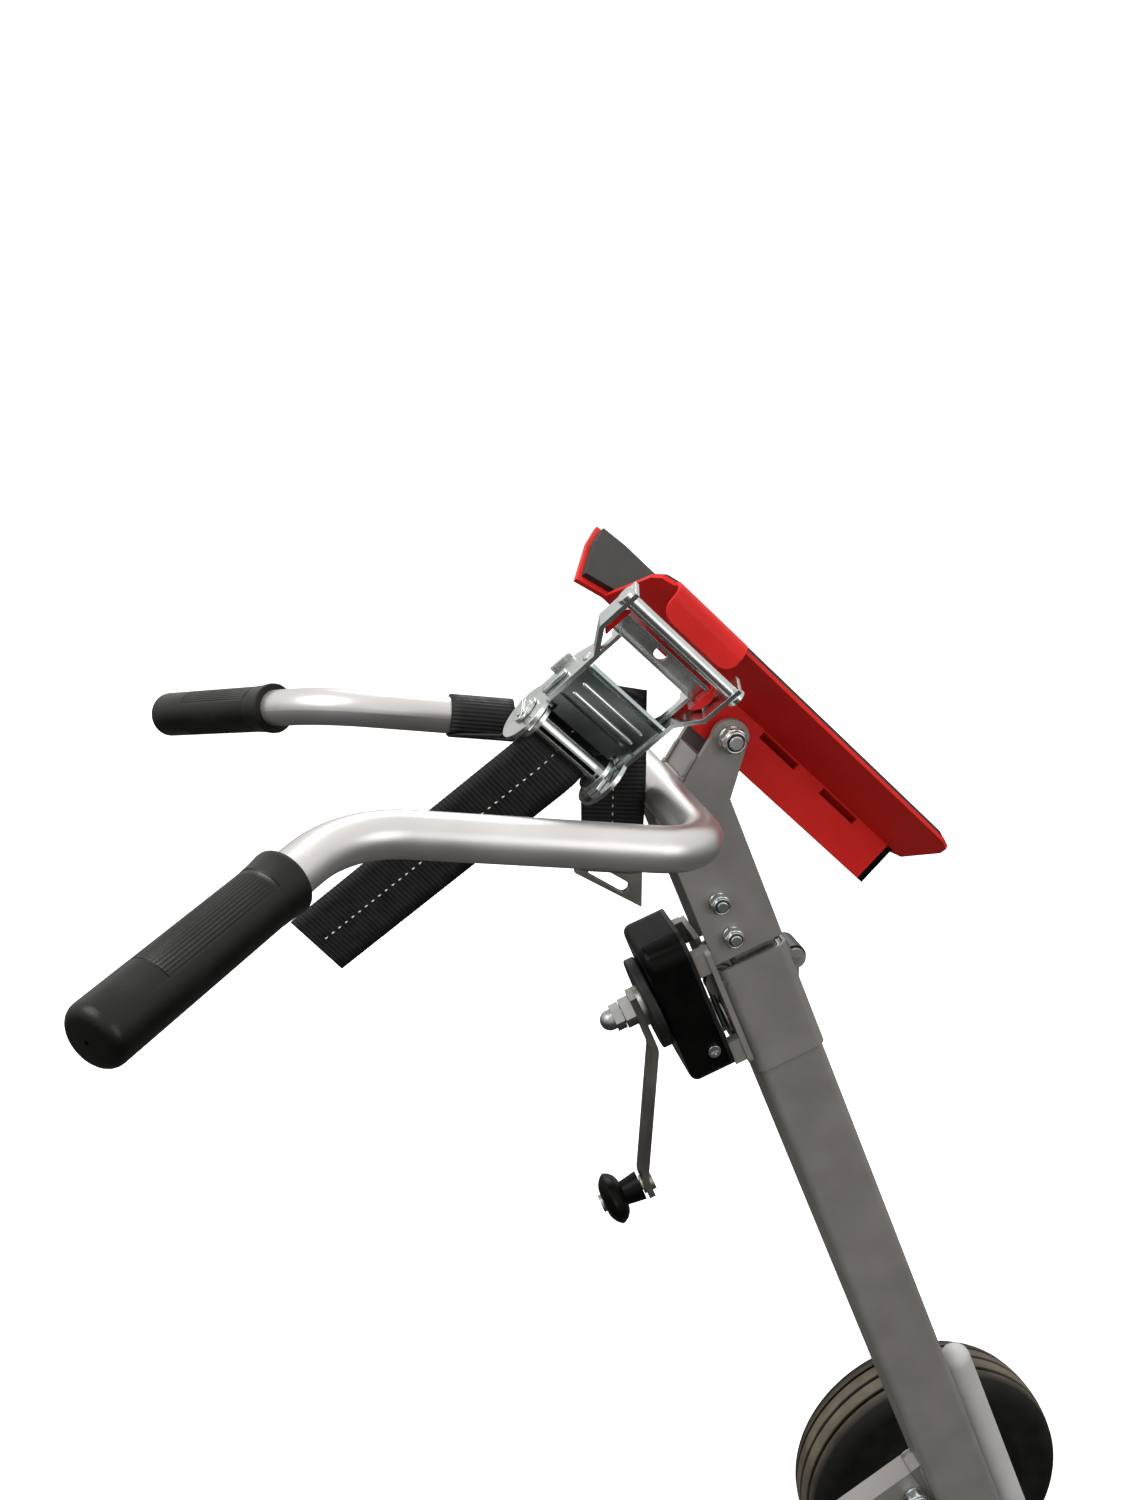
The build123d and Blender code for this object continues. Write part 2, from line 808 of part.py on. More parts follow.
with BuildPart() as fork_bolts:
    for height in (clamp_upper, clamp_lower):
        add(cross_bolt(mast, clamp_back, height, bolt_m8, 2 * fork_outer, 1.6))
    add(cross_bolt(mast, pivot_forward, pivot_height, bolt_m10, 2 * fork_outer, 2.0))

# Handlebar: one bent tube, a crossbar on the fork with two arms and splayed grip ends.
rise = radians(bar_rise)
splay = radians(grip_splay)
grip_fall = radians(grip_drop)
crossbar = spot(mast, 0, bar_back, bar_height)
arm_direction = Vector(0, -cos(rise), sin(rise))
arm_end = crossbar + Vector(bar_half_width, 0, 0) + arm_direction * arm_length
grip_direction = Vector(sin(splay) * cos(grip_fall), -cos(splay) * cos(grip_fall), -sin(grip_fall))
grip_end = arm_end + grip_direction * grip_run


def mirrored(point):
    return Vector(-point.X, point.Y, point.Z)


with BuildPart() as handlebar:
    with BuildLine() as bar_path:
        FilletPolyline(
            grip_end,
            arm_end,
            crossbar + Vector(bar_half_width, 0, 0),
            crossbar + Vector(-bar_half_width, 0, 0),
            mirrored(arm_end),
            mirrored(grip_end),
            radius=[grip_bend, arm_bend, arm_bend, grip_bend],
        )
    with BuildSketch(Plane(origin=grip_end, z_dir=grip_direction * -1)):
        Circle(bar_radius)
        Circle(bar_radius - bar_wall, mode=Mode.SUBTRACT)
    sweep(path=bar_path.line)


# Grip: a rubber sleeve with an inner flange and a rounded, closed outer end.
def grip(side):
    direction = Vector(side * grip_direction.X, grip_direction.Y, grip_direction.Z)
    tip = Vector(side * grip_end.X, grip_end.Y, grip_end.Z) + direction * grip_end_wall
    outward = Plane(origin=tip - direction * grip_length, z_dir=direction)
    with BuildPart() as piece:
        with BuildSketch(outward):
            Circle(grip_flange / 2)
        extrude(amount=grip_flange_length)
        with BuildSketch(outward):
            Circle(grip_diameter / 2)
        extrude(amount=grip_length)
        fillet(piece.edges().group_by(Axis(tip, direction))[-1], radius=7)
        fillet(piece.edges().group_by(Axis(tip, direction))[0], radius=1.5)
        with BuildSketch(outward):
            Circle(bar_radius)
        extrude(amount=grip_length - grip_end_wall, mode=Mode.SUBTRACT)
    return piece.part


with BuildPart() as grip_right:
    add(grip(1))
with BuildPart() as grip_left:
    add(grip(-1))

# Strap eye: a slotted plate welded under the right arm of the handlebar.
arm_start = crossbar + Vector(bar_half_width, 0, 0)


def under_arm(back, depth):
    y = pivot.Y + back
    run = (arm_start.Y - y) / cos(rise)
    return (y - pivot.Y, arm_start.Z + run * sin(rise) - depth - pivot.Z)


eye_middle = (eye_plate_back + eye_plate_front) / 2
eye_fall = eye_plate_front_depth - eye_plate_rear_depth
eye_slope = degrees(atan2(eye_fall, eye_plate_front - eye_plate_back)) + bar_rise

with BuildPart() as strap_eye:
    with BuildSketch(sideways(upright, bar_half_width - eye_plate / 2)):
        with BuildLine():
            Polyline(
                under_arm(eye_plate_back, 0),
                under_arm(eye_plate_front, 0),
                under_arm(eye_plate_front, eye_plate_front_depth),
                under_arm(eye_plate_back, eye_plate_rear_depth),
                close=True,
            )
        make_face()
        with Locations(Location(under_arm(eye_middle, eye_slot_depth), -eye_slope)):
            SlotOverall(eye_slot_length, eye_slot_width, mode=Mode.SUBTRACT)
    extrude(amount=eye_plate)
    add(
        rod(Plane(origin=arm_start - arm_direction * 10, z_dir=arm_direction), bar_diameter, arm_length),
        mode=Mode.SUBTRACT,
    )

# Winch mounting plate on the collar's rear face, with four spacer posts.
plate_back = collar_half + winch_plate
base_front = plate_back + post_length
cover_front = base_front + base_sheet
cover_back = cover_front + cover_depth
gear_height = winch_height - (pinion_teeth + gear_teeth) * gear_module / 2
post_heights = (winch_height - post_below, winch_height + post_above)
posts = [(side * post_side, height) for side in (-1, 1) for height in post_heights]

with BuildPart() as winch_mount:
    with BuildSketch(rearward(mast, -collar_half)):
        with Locations((0, (winch_plate_bottom + winch_plate_top) / 2)):
            RectangleRounded(winch_plate_width, winch_plate_top - winch_plate_bottom, 4)
    extrude(amount=winch_plate)
    for x, height in posts:
        add(block(rearward(mast, -plate_back, x, height), post_size, 2 * post_size, post_length))
    add(pulley_way.part, mode=Mode.SUBTRACT)

with BuildPart() as winch_base:
    with BuildSketch(rearward(mast, -base_front, 0, cover_middle)):
        RectangleRounded(cover_width, 2 * cover_half_height, cover_corner)
    extrude(amount=base_sheet)
    tab_x = cover_width / 2 - cover_step_in - cover_wall - 1
    for side in (-1, 1):
        add(block(rearward(mast, -cover_front, side * tab_x, screw_height), 2, 24, 14))
    add(rod(rearward(mast, -cover_front, pawl_side, winch_height + pawl_above), pawl_pin, 22))
    add(rod(rearward(mast, 0, 0, winch_height), shaft_diameter + 2 * running_gap, 120), mode=Mode.SUBTRACT)
    add(rod(rearward(mast, 0, 0, gear_height), drum_shaft + 2 * running_gap, 120), mode=Mode.SUBTRACT)
    add(rod(sideways(mast, -60, -screw_back, screw_height), screw_thread, 120), mode=Mode.SUBTRACT)

# Winch cover: a moulded shell, narrower below the step.
with BuildPart() as cover_hollow:
    with BuildSketch(rearward(mast, -cover_front, 0, cover_middle)):
        RectangleRounded(
            cover_width - 2 * cover_wall,
            2 * (cover_half_height - cover_wall),
            cover_corner - cover_wall,
        )
        for side in (-1, 1):
            with Locations((side * cover_width / 2, cover_step - cover_middle - cover_half_height)):
                Rectangle(2 * (cover_step_in + cover_wall), 2 * cover_half_height, mode=Mode.SUBTRACT)
    extrude(amount=cover_depth - cover_wall)

with BuildPart() as winch_cover:
    with BuildSketch(rearward(mast, -cover_front, 0, cover_middle)):
        RectangleRounded(cover_width, 2 * cover_half_height, cover_corner)
    extrude(amount=cover_depth)
    fillet(winch_cover.faces().sort_by(Axis(pivot, mast.y_dir))[0].edges(), radius=cover_round)
    for side in (-1, 1):
        step = rearward(mast, -cover_front, side * cover_width / 2, cover_step - cover_half_height)
        add(block(step, 2 * cover_step_in, 2 * cover_half_height, cover_depth), mode=Mode.SUBTRACT)
    add(cover_hollow.part, mode=Mode.SUBTRACT)
    add(rod(rearward(mast, 0, 0, winch_height), shaft_diameter + 2 * running_gap, 120), mode=Mode.SUBTRACT)
    add(rod(sideways(mast, -60, -screw_back, screw_height), screw_thread, 120), mode=Mode.SUBTRACT)


# A plane on the cover's right or left wall at a screw, facing outward.
def screw_plane(side, out):
    face = side * (cover_width / 2 - cover_step_in + out)
    return Plane(
        origin=spot(mast, face, -screw_back, screw_height),
        x_dir=mast.z_dir,
        z_dir=mast.x_dir * side,
    )


with BuildPart() as cover_screws:
    for side in (-1, 1):
        add(rod(screw_plane(side, -screw_length), screw_thread - 2 * pin_fit, screw_length + 0.5))
        add(rod(screw_plane(side, 0), screw_head, 2.6))
        add(block(screw_plane(side, 1.4), 5, 1.1, 3), mode=Mode.SUBTRACT)
        add(block(screw_plane(side, 1.4), 1.1, 5, 3), mode=Mode.SUBTRACT)

# Crank shaft with its cut pinion, the load ratchet disc, brake disc, crank arm and nuts on one axis.
hub_back = cover_back + brake_gap + brake_thickness + crank_washer
nut_back = hub_back + crank_thickness
shaft_end = nut_back + crank_nut_height + 6
dome = 7.5
dome_start = acorn_length - 7 - dome

with BuildPart() as crank_shaft:
    add(rod(rearward(mast, -base_front, 0, winch_height), shaft_diameter, shaft_end - base_front))
    with BuildSketch(rearward(mast, -gear_start, 0, winch_height)):
        with BuildLine():
            Polyline(*gear_points(pinion_teeth, gear_module, gear_backlash, 90), close=True)
        make_face()
    extrude(amount=gear_width)

with BuildPart() as load_ratchet:
    with BuildSketch(rearward(mast, -ratchet_disc_start, 0, winch_height)):
        with BuildLine():
            disc_points = saw_points(ratchet_disc_teeth, ratchet_disc_radius, ratchet_disc_depth, 0)
            Polyline(*disc_points, close=True)
        make_face()
        Circle(shaft_diameter / 2, mode=Mode.SUBTRACT)
    extrude(amount=ratchet_disc_sheet)

with BuildPart() as load_pawl:
    with BuildSketch(rearward(mast, -ratchet_disc_start, pawl_side, winch_height + pawl_above)):
        Circle(pawl_pin / 2 + 3)
        with BuildLine():
            Polyline((-4, 5), (16, -3), (19, -10.5), (15, -10), (-2, -5.5), close=True)
        make_face()
        Circle(pawl_pin / 2 + running_gap, mode=Mode.SUBTRACT)
    extrude(amount=ratchet_disc_sheet)

with BuildPart() as brake_disc:
    brake_front = rearward(mast, -cover_back - brake_gap, 0, winch_height)
    add(ring(brake_front, brake_diameter, shaft_diameter, brake_thickness))
    fillet(brake_disc.edges().group_by(SortBy.LENGTH)[-1], radius=1.5)

with BuildPart() as crank_arm:
    with BuildLine() as crank_path:
        FilletPolyline(
            spot(mast, 0, -hub_back - crank_thickness / 2, winch_height + crank_head),
            spot(mast, 0, -hub_back - crank_thickness / 2, winch_height - crank_drop),
            spot(mast, 0, -crank_foot_back, crank_foot + crank_end),
            spot(mast, 0, -crank_foot_back, crank_foot - crank_end),
            radius=crank_bend,
        )
    with BuildSketch(level(mast, winch_height + crank_head, 0, -hub_back - crank_thickness / 2)):
        Rectangle(crank_width, crank_thickness)
    sweep(path=crank_path.line)
    add(rod(rearward(mast, 0, 0, winch_height), shaft_diameter, 160), mode=Mode.SUBTRACT)
    add(rod(rearward(mast, 0, 0, crank_foot), knob_bolt, 2 * crank_foot_back), mode=Mode.SUBTRACT)

with BuildPart() as crank_nuts:
    washer_front = rearward(mast, -hub_back + crank_washer, 0, winch_height)
    add(ring(washer_front, crank_washer_diameter, shaft_diameter, crank_washer))
    add(hexagon(rearward(mast, -nut_back, 0, winch_height), crank_nut_flats, crank_nut_height))
    acorn_front = rearward(mast, -nut_back - crank_nut_height - 0.5, 0, winch_height)
    add(hexagon(acorn_front, crank_nut_flats - 2, 7))
    with BuildSketch(sideways(mast, 0, -nut_back - crank_nut_height - 7.5, winch_height)):
        with BuildLine():
            Polyline((-dome_start, dome), (0, dome), (0, 0), (-dome_start - dome, 0))
            ThreePointArc(
                (-dome_start, dome),
                (-dome_start - dome * sin(radians(45)), dome * cos(radians(45))),
                (-dome_start - dome, 0),
            )
        make_face()
    revolve(axis=Axis(spot(mast, 0, 0, winch_height), mast.y_dir))
    add(rod(rearward(mast, 0, 0, winch_height), shaft_diameter, shaft_end), mode=Mode.SUBTRACT)

# Knob: a turned mushroom grip that spins on a shouldered bolt riveted in the crank's foot.
knob_front = crank_foot_back + crank_thickness / 2 + 2
knob_end = knob_front + knob_length
neck_end = -knob_length + knob_cap_length + 2

with BuildPart() as crank_knob:
    with BuildSketch(sideways(mast, 0, -knob_front, crank_foot)):
        with BuildLine():
            Line((0, knob_bolt / 2 + running_gap), (0, knob_neck_diameter / 2))
            Line((0, knob_neck_diameter / 2), (neck_end, knob_neck_diameter / 2 - 2))
            ThreePointArc(
                (neck_end, knob_neck_diameter / 2 - 2),
                (-knob_length + knob_cap_length - 1.5, knob_cap_diameter / 2 - 3),
                (-knob_length + knob_cap_length / 2, knob_cap_diameter / 2),
            )
            ThreePointArc(
                (-knob_length + knob_cap_length / 2, knob_cap_diameter / 2),
                (-knob_length + 1.2, knob_cap_diameter / 2 - 6),
                (-knob_length, knob_bolt / 2 + running_gap),
            )
            Line((-knob_length, knob_bolt / 2 + running_gap), (0, knob_bolt / 2 + running_gap))
        make_face()
    revolve(axis=Axis(spot(mast, 0, 0, crank_foot), mast.y_dir))

with BuildPart() as knob_pin:
    pin_front = crank_foot_back - crank_thickness / 2 - 3
    add(rod(rearward(mast, -pin_front, 0, crank_foot), knob_bolt + 6, 3))
    add(rod(rearward(mast, -pin_front, 0, crank_foot), knob_bolt, knob_end - pin_front + 2.5))
    washer_front = rearward(mast, -crank_foot_back - crank_thickness / 2, 0, crank_foot)
    add(ring(washer_front, knob_bolt + 6, knob_bolt, 1.6))
    add(rod(rearward(mast, -knob_end - 0.4, 0, crank_foot), knob_bolt + 5, 2.1))

# Drum: spool and shaft on the second axis, driven by the larger gear inside the cover.
with BuildPart() as rope_drum:
    drum_front = plate_back + 0.6
    drum_back = base_front - 0.6 - drum_flange_sheet
    add(rod(rearward(mast, -drum_front, 0, gear_height), 2 * drum_core, post_length - 1.2))
    for start in (drum_front, drum_back):
        add(rod(rearward(mast, -start, 0, gear_height), 2 * drum_flange, drum_flange_sheet))
    drum_shaft_end = ratchet_disc_start - 1
    add(rod(rearward(mast, -drum_front, 0, gear_height), drum_shaft, drum_shaft_end - drum_front))

with BuildPart() as drum_gear:
    with BuildSketch(rearward(mast, -gear_start, 0, gear_height)):
        with BuildLine():
            Polyline(*gear_points(gear_teeth, gear_module, gear_backlash, 90), close=True)
        make_face()
        Circle(drum_shaft / 2, mode=Mode.SUBTRACT)
    extrude(amount=gear_width)

# Lifting rope from the drum, over the pulley and down inside the mast to the foot shoe.
rope_out = pulley_back - pulley_pitch
rope_foot = inner_foot - shoe_height - 6

with BuildPart() as lift_rope:
    with BuildLine() as rope_path:
        Line(spot(mast, rope_side, rope_out, gear_height), spot(mast, rope_side, rope_out, pulley_height))
        ThreePointArc(
            spot(mast, rope_side, rope_out, pulley_height),
            spot(mast, rope_side, pulley_back, pulley_height + pulley_pitch),
            spot(mast, rope_side, rope_inside, pulley_height),
        )
        Line(
            spot(mast, rope_side, rope_inside, pulley_height),
            spot(mast, rope_side, rope_inside, rope_foot),
        )
    with BuildSketch(level(mast, gear_height, rope_side, rope_out)):
        Circle(rope_diameter / 2)
    sweep(path=rope_path.line)
    add(rod(level(mast, rope_foot - 6, rope_side, rope_inside), 2 * rope_diameter, 10))

with BuildPart() as rope_pulley:
    with BuildSketch(rearward(mast, pulley_back, rope_side, pulley_height)):
        with BuildLine():
            Polyline(
                (-pulley_width / 2, pulley_pin / 2 + running_gap),
                (pulley_width / 2, pulley_pin / 2 + running_gap),
                (pulley_width / 2, pulley_flange),
                (pulley_width / 2 - 1, pulley_flange),
                (rope_diameter / 2 + rope_clear, pulley_pitch - rope_diameter / 2 - rope_clear),
                (-rope_diameter / 2 - rope_clear, pulley_pitch - rope_diameter / 2 - rope_clear),
                (-pulley_width / 2 + 1, pulley_flange),
                (-pulley_width / 2, pulley_flange),
                close=True,
            )
        make_face()
    revolve(axis=Axis(spot(mast, 0, pulley_back, pulley_height), mast.x_dir))

# Guide roller in a rounded bracket on the collar's front face, with its pin and the pulley's pin.
with BuildPart() as guide_roller:
    add(
        ring(
            sideways(mast, -guide_length / 2, guide_forward, guide_height),
            2 * guide_radius,
            guide_pin + 2 * running_gap,
            guide_length,
        )
    )

cheek_radius = guide_radius - 1.5

with BuildPart() as guide_bracket:
    for side in (-1, 1):
        cheek_middle = side * (guide_length / 2 + 0.5 + guide_cheek / 2)
        with BuildSketch(sideways(mast, cheek_middle - guide_cheek / 2)):
            with BuildLine():
                Polyline(
                    (collar_half, guide_height - cheek_reach),
                    (guide_forward, guide_height - cheek_radius),
                    (guide_forward, guide_height + cheek_radius),
                    (collar_half, guide_height + cheek_reach),
                    close=True,
                )
            make_face()
            with Locations((guide_forward, guide_height)):
                Circle(cheek_radius)
            with Locations((0, guide_height)):
                Rectangle(2 * collar_half, 60, mode=Mode.SUBTRACT)
        extrude(amount=guide_cheek)
    guide_side = sideways(mast, -40, guide_forward, guide_height)
    add(rod(guide_side, guide_pin + 2 * pin_fit, 80), mode=Mode.SUBTRACT)

with BuildPart() as roller_pins:
    pin_half = guide_length / 2 + 0.5 + guide_cheek
    add(rod(sideways(mast, -pin_half, guide_forward, guide_height), guide_pin, 2 * pin_half + 1))
    add(rod(sideways(mast, rope_side - 11, pulley_back, pulley_height), pulley_pin, 21))

# Cradle beam: a channel on the pivot, open towards the plate, with two slots along each wall.
slope = radians(plate_splay)


def plate_height(x):
    return plate_fold + x * tan(slope)


with BuildPart() as cradle_beam:
    with BuildSketch(level(cradle, beam_foot)):
        with BuildLine():
            Polyline(
                (0, plate_fold),
                (beam_width / 2, plate_height(beam_width / 2)),
                (beam_width / 2, beam_back),
                (-beam_width / 2, beam_back),
                (-beam_width / 2, plate_height(beam_width / 2)),
                close=True,
            )
        make_face()
        with Locations((0, 50 + beam_back + beam_wall)):
            Rectangle(beam_width - 2 * beam_wall, 100, mode=Mode.SUBTRACT)
    extrude(amount=beam_top - beam_foot)
    for middle in (-38, -100):
        add(block(sideways(cradle, -40, beam_front - 3, middle), 5, 36, 80), mode=Mode.SUBTRACT)
    add(rod(sideways(cradle, -40), pivot_bush_diameter, 80), mode=Mode.SUBTRACT)

with BuildPart() as beam_end_cap:
    with BuildSketch(level(cradle, beam_foot - beam_cap)):
        with BuildLine():
            Polyline(
                (0, plate_fold),
                (beam_width / 2, plate_height(beam_width / 2)),
                (beam_width / 2, beam_back),
                (-beam_width / 2, beam_back),
                (-beam_width / 2, plate_height(beam_width / 2)),
                close=True,
            )
        make_face()
    extrude(amount=beam_cap)

with BuildPart() as pivot_bush:
    bush_half = fork_half - end_float
    add(ring(sideways(cradle, -bush_half), pivot_bush_diameter, bolt_m10 + 2 * running_gap, 2 * bush_half))


# V plate: folded sheet whose two wings carry the cylinder; the left wing runs on into an ear.
def wing_plane(side, rise):
    outward = Vector(side * cos(slope), cradle.y_dir.Y * sin(slope), cradle.y_dir.Z * sin(slope))
    inward = Vector(-side * sin(slope), cradle.y_dir.Y * cos(slope), cradle.y_dir.Z * cos(slope))
    return Plane(origin=spot(cradle, 0, plate_fold, 0) + inward * rise, x_dir=outward, z_dir=inward)


def wing(side, rise, thickness, margin, ear):
    inner = tan(slope) * (rise + (thickness if margin else 0)) + margin
    outer = plate_width - margin
    top = plate_top - margin
    foot = plate_foot + margin
    corner = plate_round
    points = [
        (inner, foot + plate_foot_cut),
        (inner + plate_foot_run, foot),
        (outer - corner, foot),
        (outer - 0.3 * corner, foot + 0.3 * corner),
        (outer, foot + corner),
    ]
    if ear:
        points += [
            (outer, top),
            (outer - 0.3 * corner, top + ear_rise - 0.3 * corner),
            (ear_outer, top + ear_rise),
            (inner - ear_inset, top + ear_rise),
        ]
    else:
        points += [
            (outer, top - corner),
            (outer - 0.3 * corner, top - 0.3 * corner),
            (outer - corner, top),
        ]
    points.append((inner, top))
    with BuildPart() as piece:
        with BuildSketch(wing_plane(side, rise)):
            with BuildLine():
                Polyline(*[(x, -side * y) for x, y in points], close=True)
            make_face()
        extrude(amount=thickness)
    return piece.part


# Hook tab: a tongue of the right wing's outer edge rolled back to guide the strap.
tab_sweep = radians(tab_turn)
tab_outer = tab_bend + plate_sheet


def rolled(radius, angle):
    return (plate_width + radius * sin(angle), plate_sheet - tab_outer + radius * cos(angle))


def flap(radius):
    x, y = rolled(radius, tab_sweep)
    return (x + tab_flap * cos(tab_sweep), y - tab_flap * sin(tab_sweep))


with BuildPart() as hook_tab:
    tab_foot = spot(cradle, 0, plate_fold, tab_top - tab_length)
    with BuildSketch(Plane(origin=tab_foot, x_dir=wing_plane(1, 0).x_dir, z_dir=cradle.z_dir)):
        with BuildLine():
            Line((plate_width, 0), (plate_width, plate_sheet))
            ThreePointArc(
                (plate_width, plate_sheet),
                rolled(tab_outer, tab_sweep / 2),
                rolled(tab_outer, tab_sweep),
            )
            Line(rolled(tab_outer, tab_sweep), flap(tab_outer))
            Line(flap(tab_outer), flap(tab_bend))
            Line(flap(tab_bend), rolled(tab_bend, tab_sweep))
            ThreePointArc(rolled(tab_bend, tab_sweep), rolled(tab_bend, tab_sweep / 2), (plate_width, 0))
        make_face()
    extrude(amount=tab_length)
    tips = hook_tab.edges().filter_by(lambda edge: abs(edge.length - plate_sheet) < 0.01)
    fillet(tips.sort_by(Axis(spot(cradle, 0, 0, 0), cradle.y_dir))[:2], radius=tab_round)

with BuildPart() as cradle_plate:
    add(wing(1, 0, plate_sheet, 0, False))
    add(wing(-1, 0, plate_sheet, 0, True))
    add(hook_tab.part)

with BuildPart() as cradle_liners:
    add(wing(1, plate_sheet, liner_sheet, liner_margin, False))
    add(wing(-1, plate_sheet, liner_sheet, liner_margin, True))

# Ratchet buckle, folded shut: X down the cradle, Y from spindle to grip, Z outward.
lay = radians(buckle_angle)
down = cradle.z_dir * -1
spindle_spot = spot(cradle, buckle_side, buckle_back, buckle_up)
toward_grip = cradle.x_dir * sin(lay) + cradle.y_dir * cos(lay)
buckle = Plane(origin=spindle_spot, x_dir=down, z_dir=down.cross(toward_grip))

base_half = base_inner / 2
disc_inner = base_half + buckle_sheet + side_clear
disc_sheet = 2.4
handle_half = disc_inner + disc_sheet + side_clear
handle_outer = handle_half + buckle_sheet
spindle_half = handle_outer + 3

with BuildPart() as buckle_spindle:
    add(rod(sideways(buckle, -spindle_half), spindle_diameter, 2 * spindle_half))
    for side in (-1, 1):
        add(rod(sideways(buckle, side * (handle_outer + 0.4 + 0.75) - 0.75), 19, 1.5))
    add(block(level(buckle, -20), base_inner - 1, spindle_slot, 40), mode=Mode.SUBTRACT)

with BuildPart() as tooth_discs:
    for start in (-disc_inner - disc_sheet, disc_inner):
        with BuildSketch(sideways(buckle, start)):
            with BuildLine():
                teeth = saw_points(tooth_disc_teeth, tooth_disc_radius, tooth_disc_depth, 0)
                Polyline(*teeth, close=True)
            make_face()
            Circle(spindle_diameter / 2, mode=Mode.SUBTRACT)
        extrude(amount=disc_sheet)

# Buckle base: two side plates joined by a cross plate, carrying spindle, strap bolt and locking slide.
lock_depth = -10.5

with BuildPart() as buckle_base:
    for start in (-base_half - buckle_sheet, base_half):
        with BuildSketch(sideways(buckle, start)):
            Circle(base_round)
            with BuildLine():
                Polyline(
                    (0, base_round),
                    (12, 4),
                    (20, -4),
                    (strap_bolt_reach + 2, -4),
                    (strap_bolt_reach + 7, -9),
                    (strap_bolt_reach + 7, -strap_bolt_inset),
                    (strap_bolt_reach + 3, -strap_bolt_inset - 7),
                    (strap_bolt_reach - 7, -strap_bolt_inset - 7),
                    (6, -21),
                    (-6, -12),
                    close=True,
                )
            make_face()
            with Locations((0, 0)):
                Circle(spindle_diameter / 2 + running_gap, mode=Mode.SUBTRACT)
            with Locations((24, lock_depth)):
                Rectangle(18, 4, mode=Mode.SUBTRACT)
            with Locations((strap_bolt_reach, -strap_bolt_inset)):
                Circle(strap_bolt / 2 + pin_fit, mode=Mode.SUBTRACT)
        extrude(amount=buckle_sheet)
    add(block(level(buckle, -21, 0, 15), base_inner, 14, 2.5))

with BuildPart() as strap_rivet:
    rivet_half = base_half + buckle_sheet
    for start, diameter, length in (
        (-rivet_half, strap_bolt, 2 * rivet_half),
        (-rivet_half - rivet_head, strap_bolt + 4, rivet_head),
        (rivet_half, strap_bolt + 4, rivet_head),
    ):
        add(rod(sideways(buckle, start, strap_bolt_reach, -strap_bolt_inset), diameter, length))

with BuildPart() as lock_slide:
    add(block(level(buckle, lock_depth - 1.2, 0, 23), 2 * (disc_inner + disc_sheet), 9, 2.4))
    add(block(level(buckle, lock_depth - 1.2, 0, 33), base_inner - 2, 16, 2.4))

# Buckle handle: flared side arms, embossed cross plate, grip bar with end flanges.
grip_half = handle_grip_half

with BuildPart() as buckle_handle:
    for side in (-1, 1):
        with BuildSketch(level(buckle, -handle_depth / 2)):
            with BuildLine():
                Polyline(
                    (side * handle_half, 0),
                    (side * handle_half, handle_flare_start),
                    (side * (grip_half - buckle_sheet), handle_flare_end),
                    (side * (grip_half - buckle_sheet), handle_reach + handle_end),
                    (side * grip_half, handle_reach + handle_end),
                    (side * grip_half, handle_flare_end - 1),
                    (side * handle_outer, handle_flare_start - 1),
                    (side * handle_outer, 0),
                    close=True,
                )
            make_face()
        extrude(amount=handle_depth)
        start = side * (handle_half + buckle_sheet / 2) - buckle_sheet / 2
        add(rod(sideways(buckle, start), 2 * handle_round, buckle_sheet))
        cheek_points = [
            (0, -handle_cheek),
            (handle_cheek_end, -handle_cheek),
            (handle_flare_start - 1, -handle_depth / 2),
            (0, -handle_depth / 2),
        ]
        add(polygon_bar(sideways(buckle, start), cheek_points, buckle_sheet))
        flange = sideways(buckle, side * (grip_half + 1.5) - 1.5, handle_reach, handle_bar_lift)
        add(rod(flange, handle_bar_flange, 3))
    grip_bar = sideways(buckle, -grip_half, handle_reach, handle_bar_lift)
    add(rod(grip_bar, handle_bar_diameter, 2 * grip_half))
    with BuildSketch(sideways(buckle, -handle_half)):
        with BuildLine():
            Polyline(
                (18, 4),
                (25, 4),
                (28, 6.5),
                (49, 6.5),
                (53, 9.5),
                (55, 8),
                (50, 4.5),
                (29, 4.5),
                (26, 2),
                (18, 2),
                close=True,
            )
        make_face()
    extrude(amount=2 * handle_half)
    apron = sideways(buckle, -base_half + 1)
    add(polygon_bar(apron, [(13, 2), (18, 2), (18, 4), (13, 4)], base_inner - 2))
    add(rod(sideways(buckle, -60), spindle_diameter + 2 * running_gap, 120), mode=Mode.SUBTRACT)
    window = sideways(buckle, -handle_outer - 1, 26, -1)
    add(block(window, 18, 3.4, 2 * handle_outer + 2), mode=Mode.SUBTRACT)

# Release slide: a pawl bar through the arms' windows, two legs and a finger channel with a hole.
with BuildPart() as release_slide:
    add(block(level(buckle, -2.2, 0, 23.5), 2 * (handle_outer + 1.5), 9, 2.4))
    for side in (-1, 1):
        leg = sideways(buckle, side * (disc_inner + disc_sheet / 2) - disc_sheet / 2)
        leg_points = [(19, -6), (71, -6), (71, -13), (77, -13), (77, 0.2), (19, 0.2)]
        add(polygon_bar(leg, leg_points, disc_sheet))
    pull = sideways(buckle, -pull_half)
    pull_points = [
        (74.5, -7.5),
        (74.5, -13),
        (89, -13),
        (89, -3),
        (86.8, -3),
        (86.8, -10.8),
        (76.7, -10.8),
        (76.7, -7.5),
    ]
    add(polygon_bar(pull, pull_points, 2 * pull_half))
    add(rod(level(buckle, -20, 0, 82), pull_hole, 20), mode=Mode.SUBTRACT)

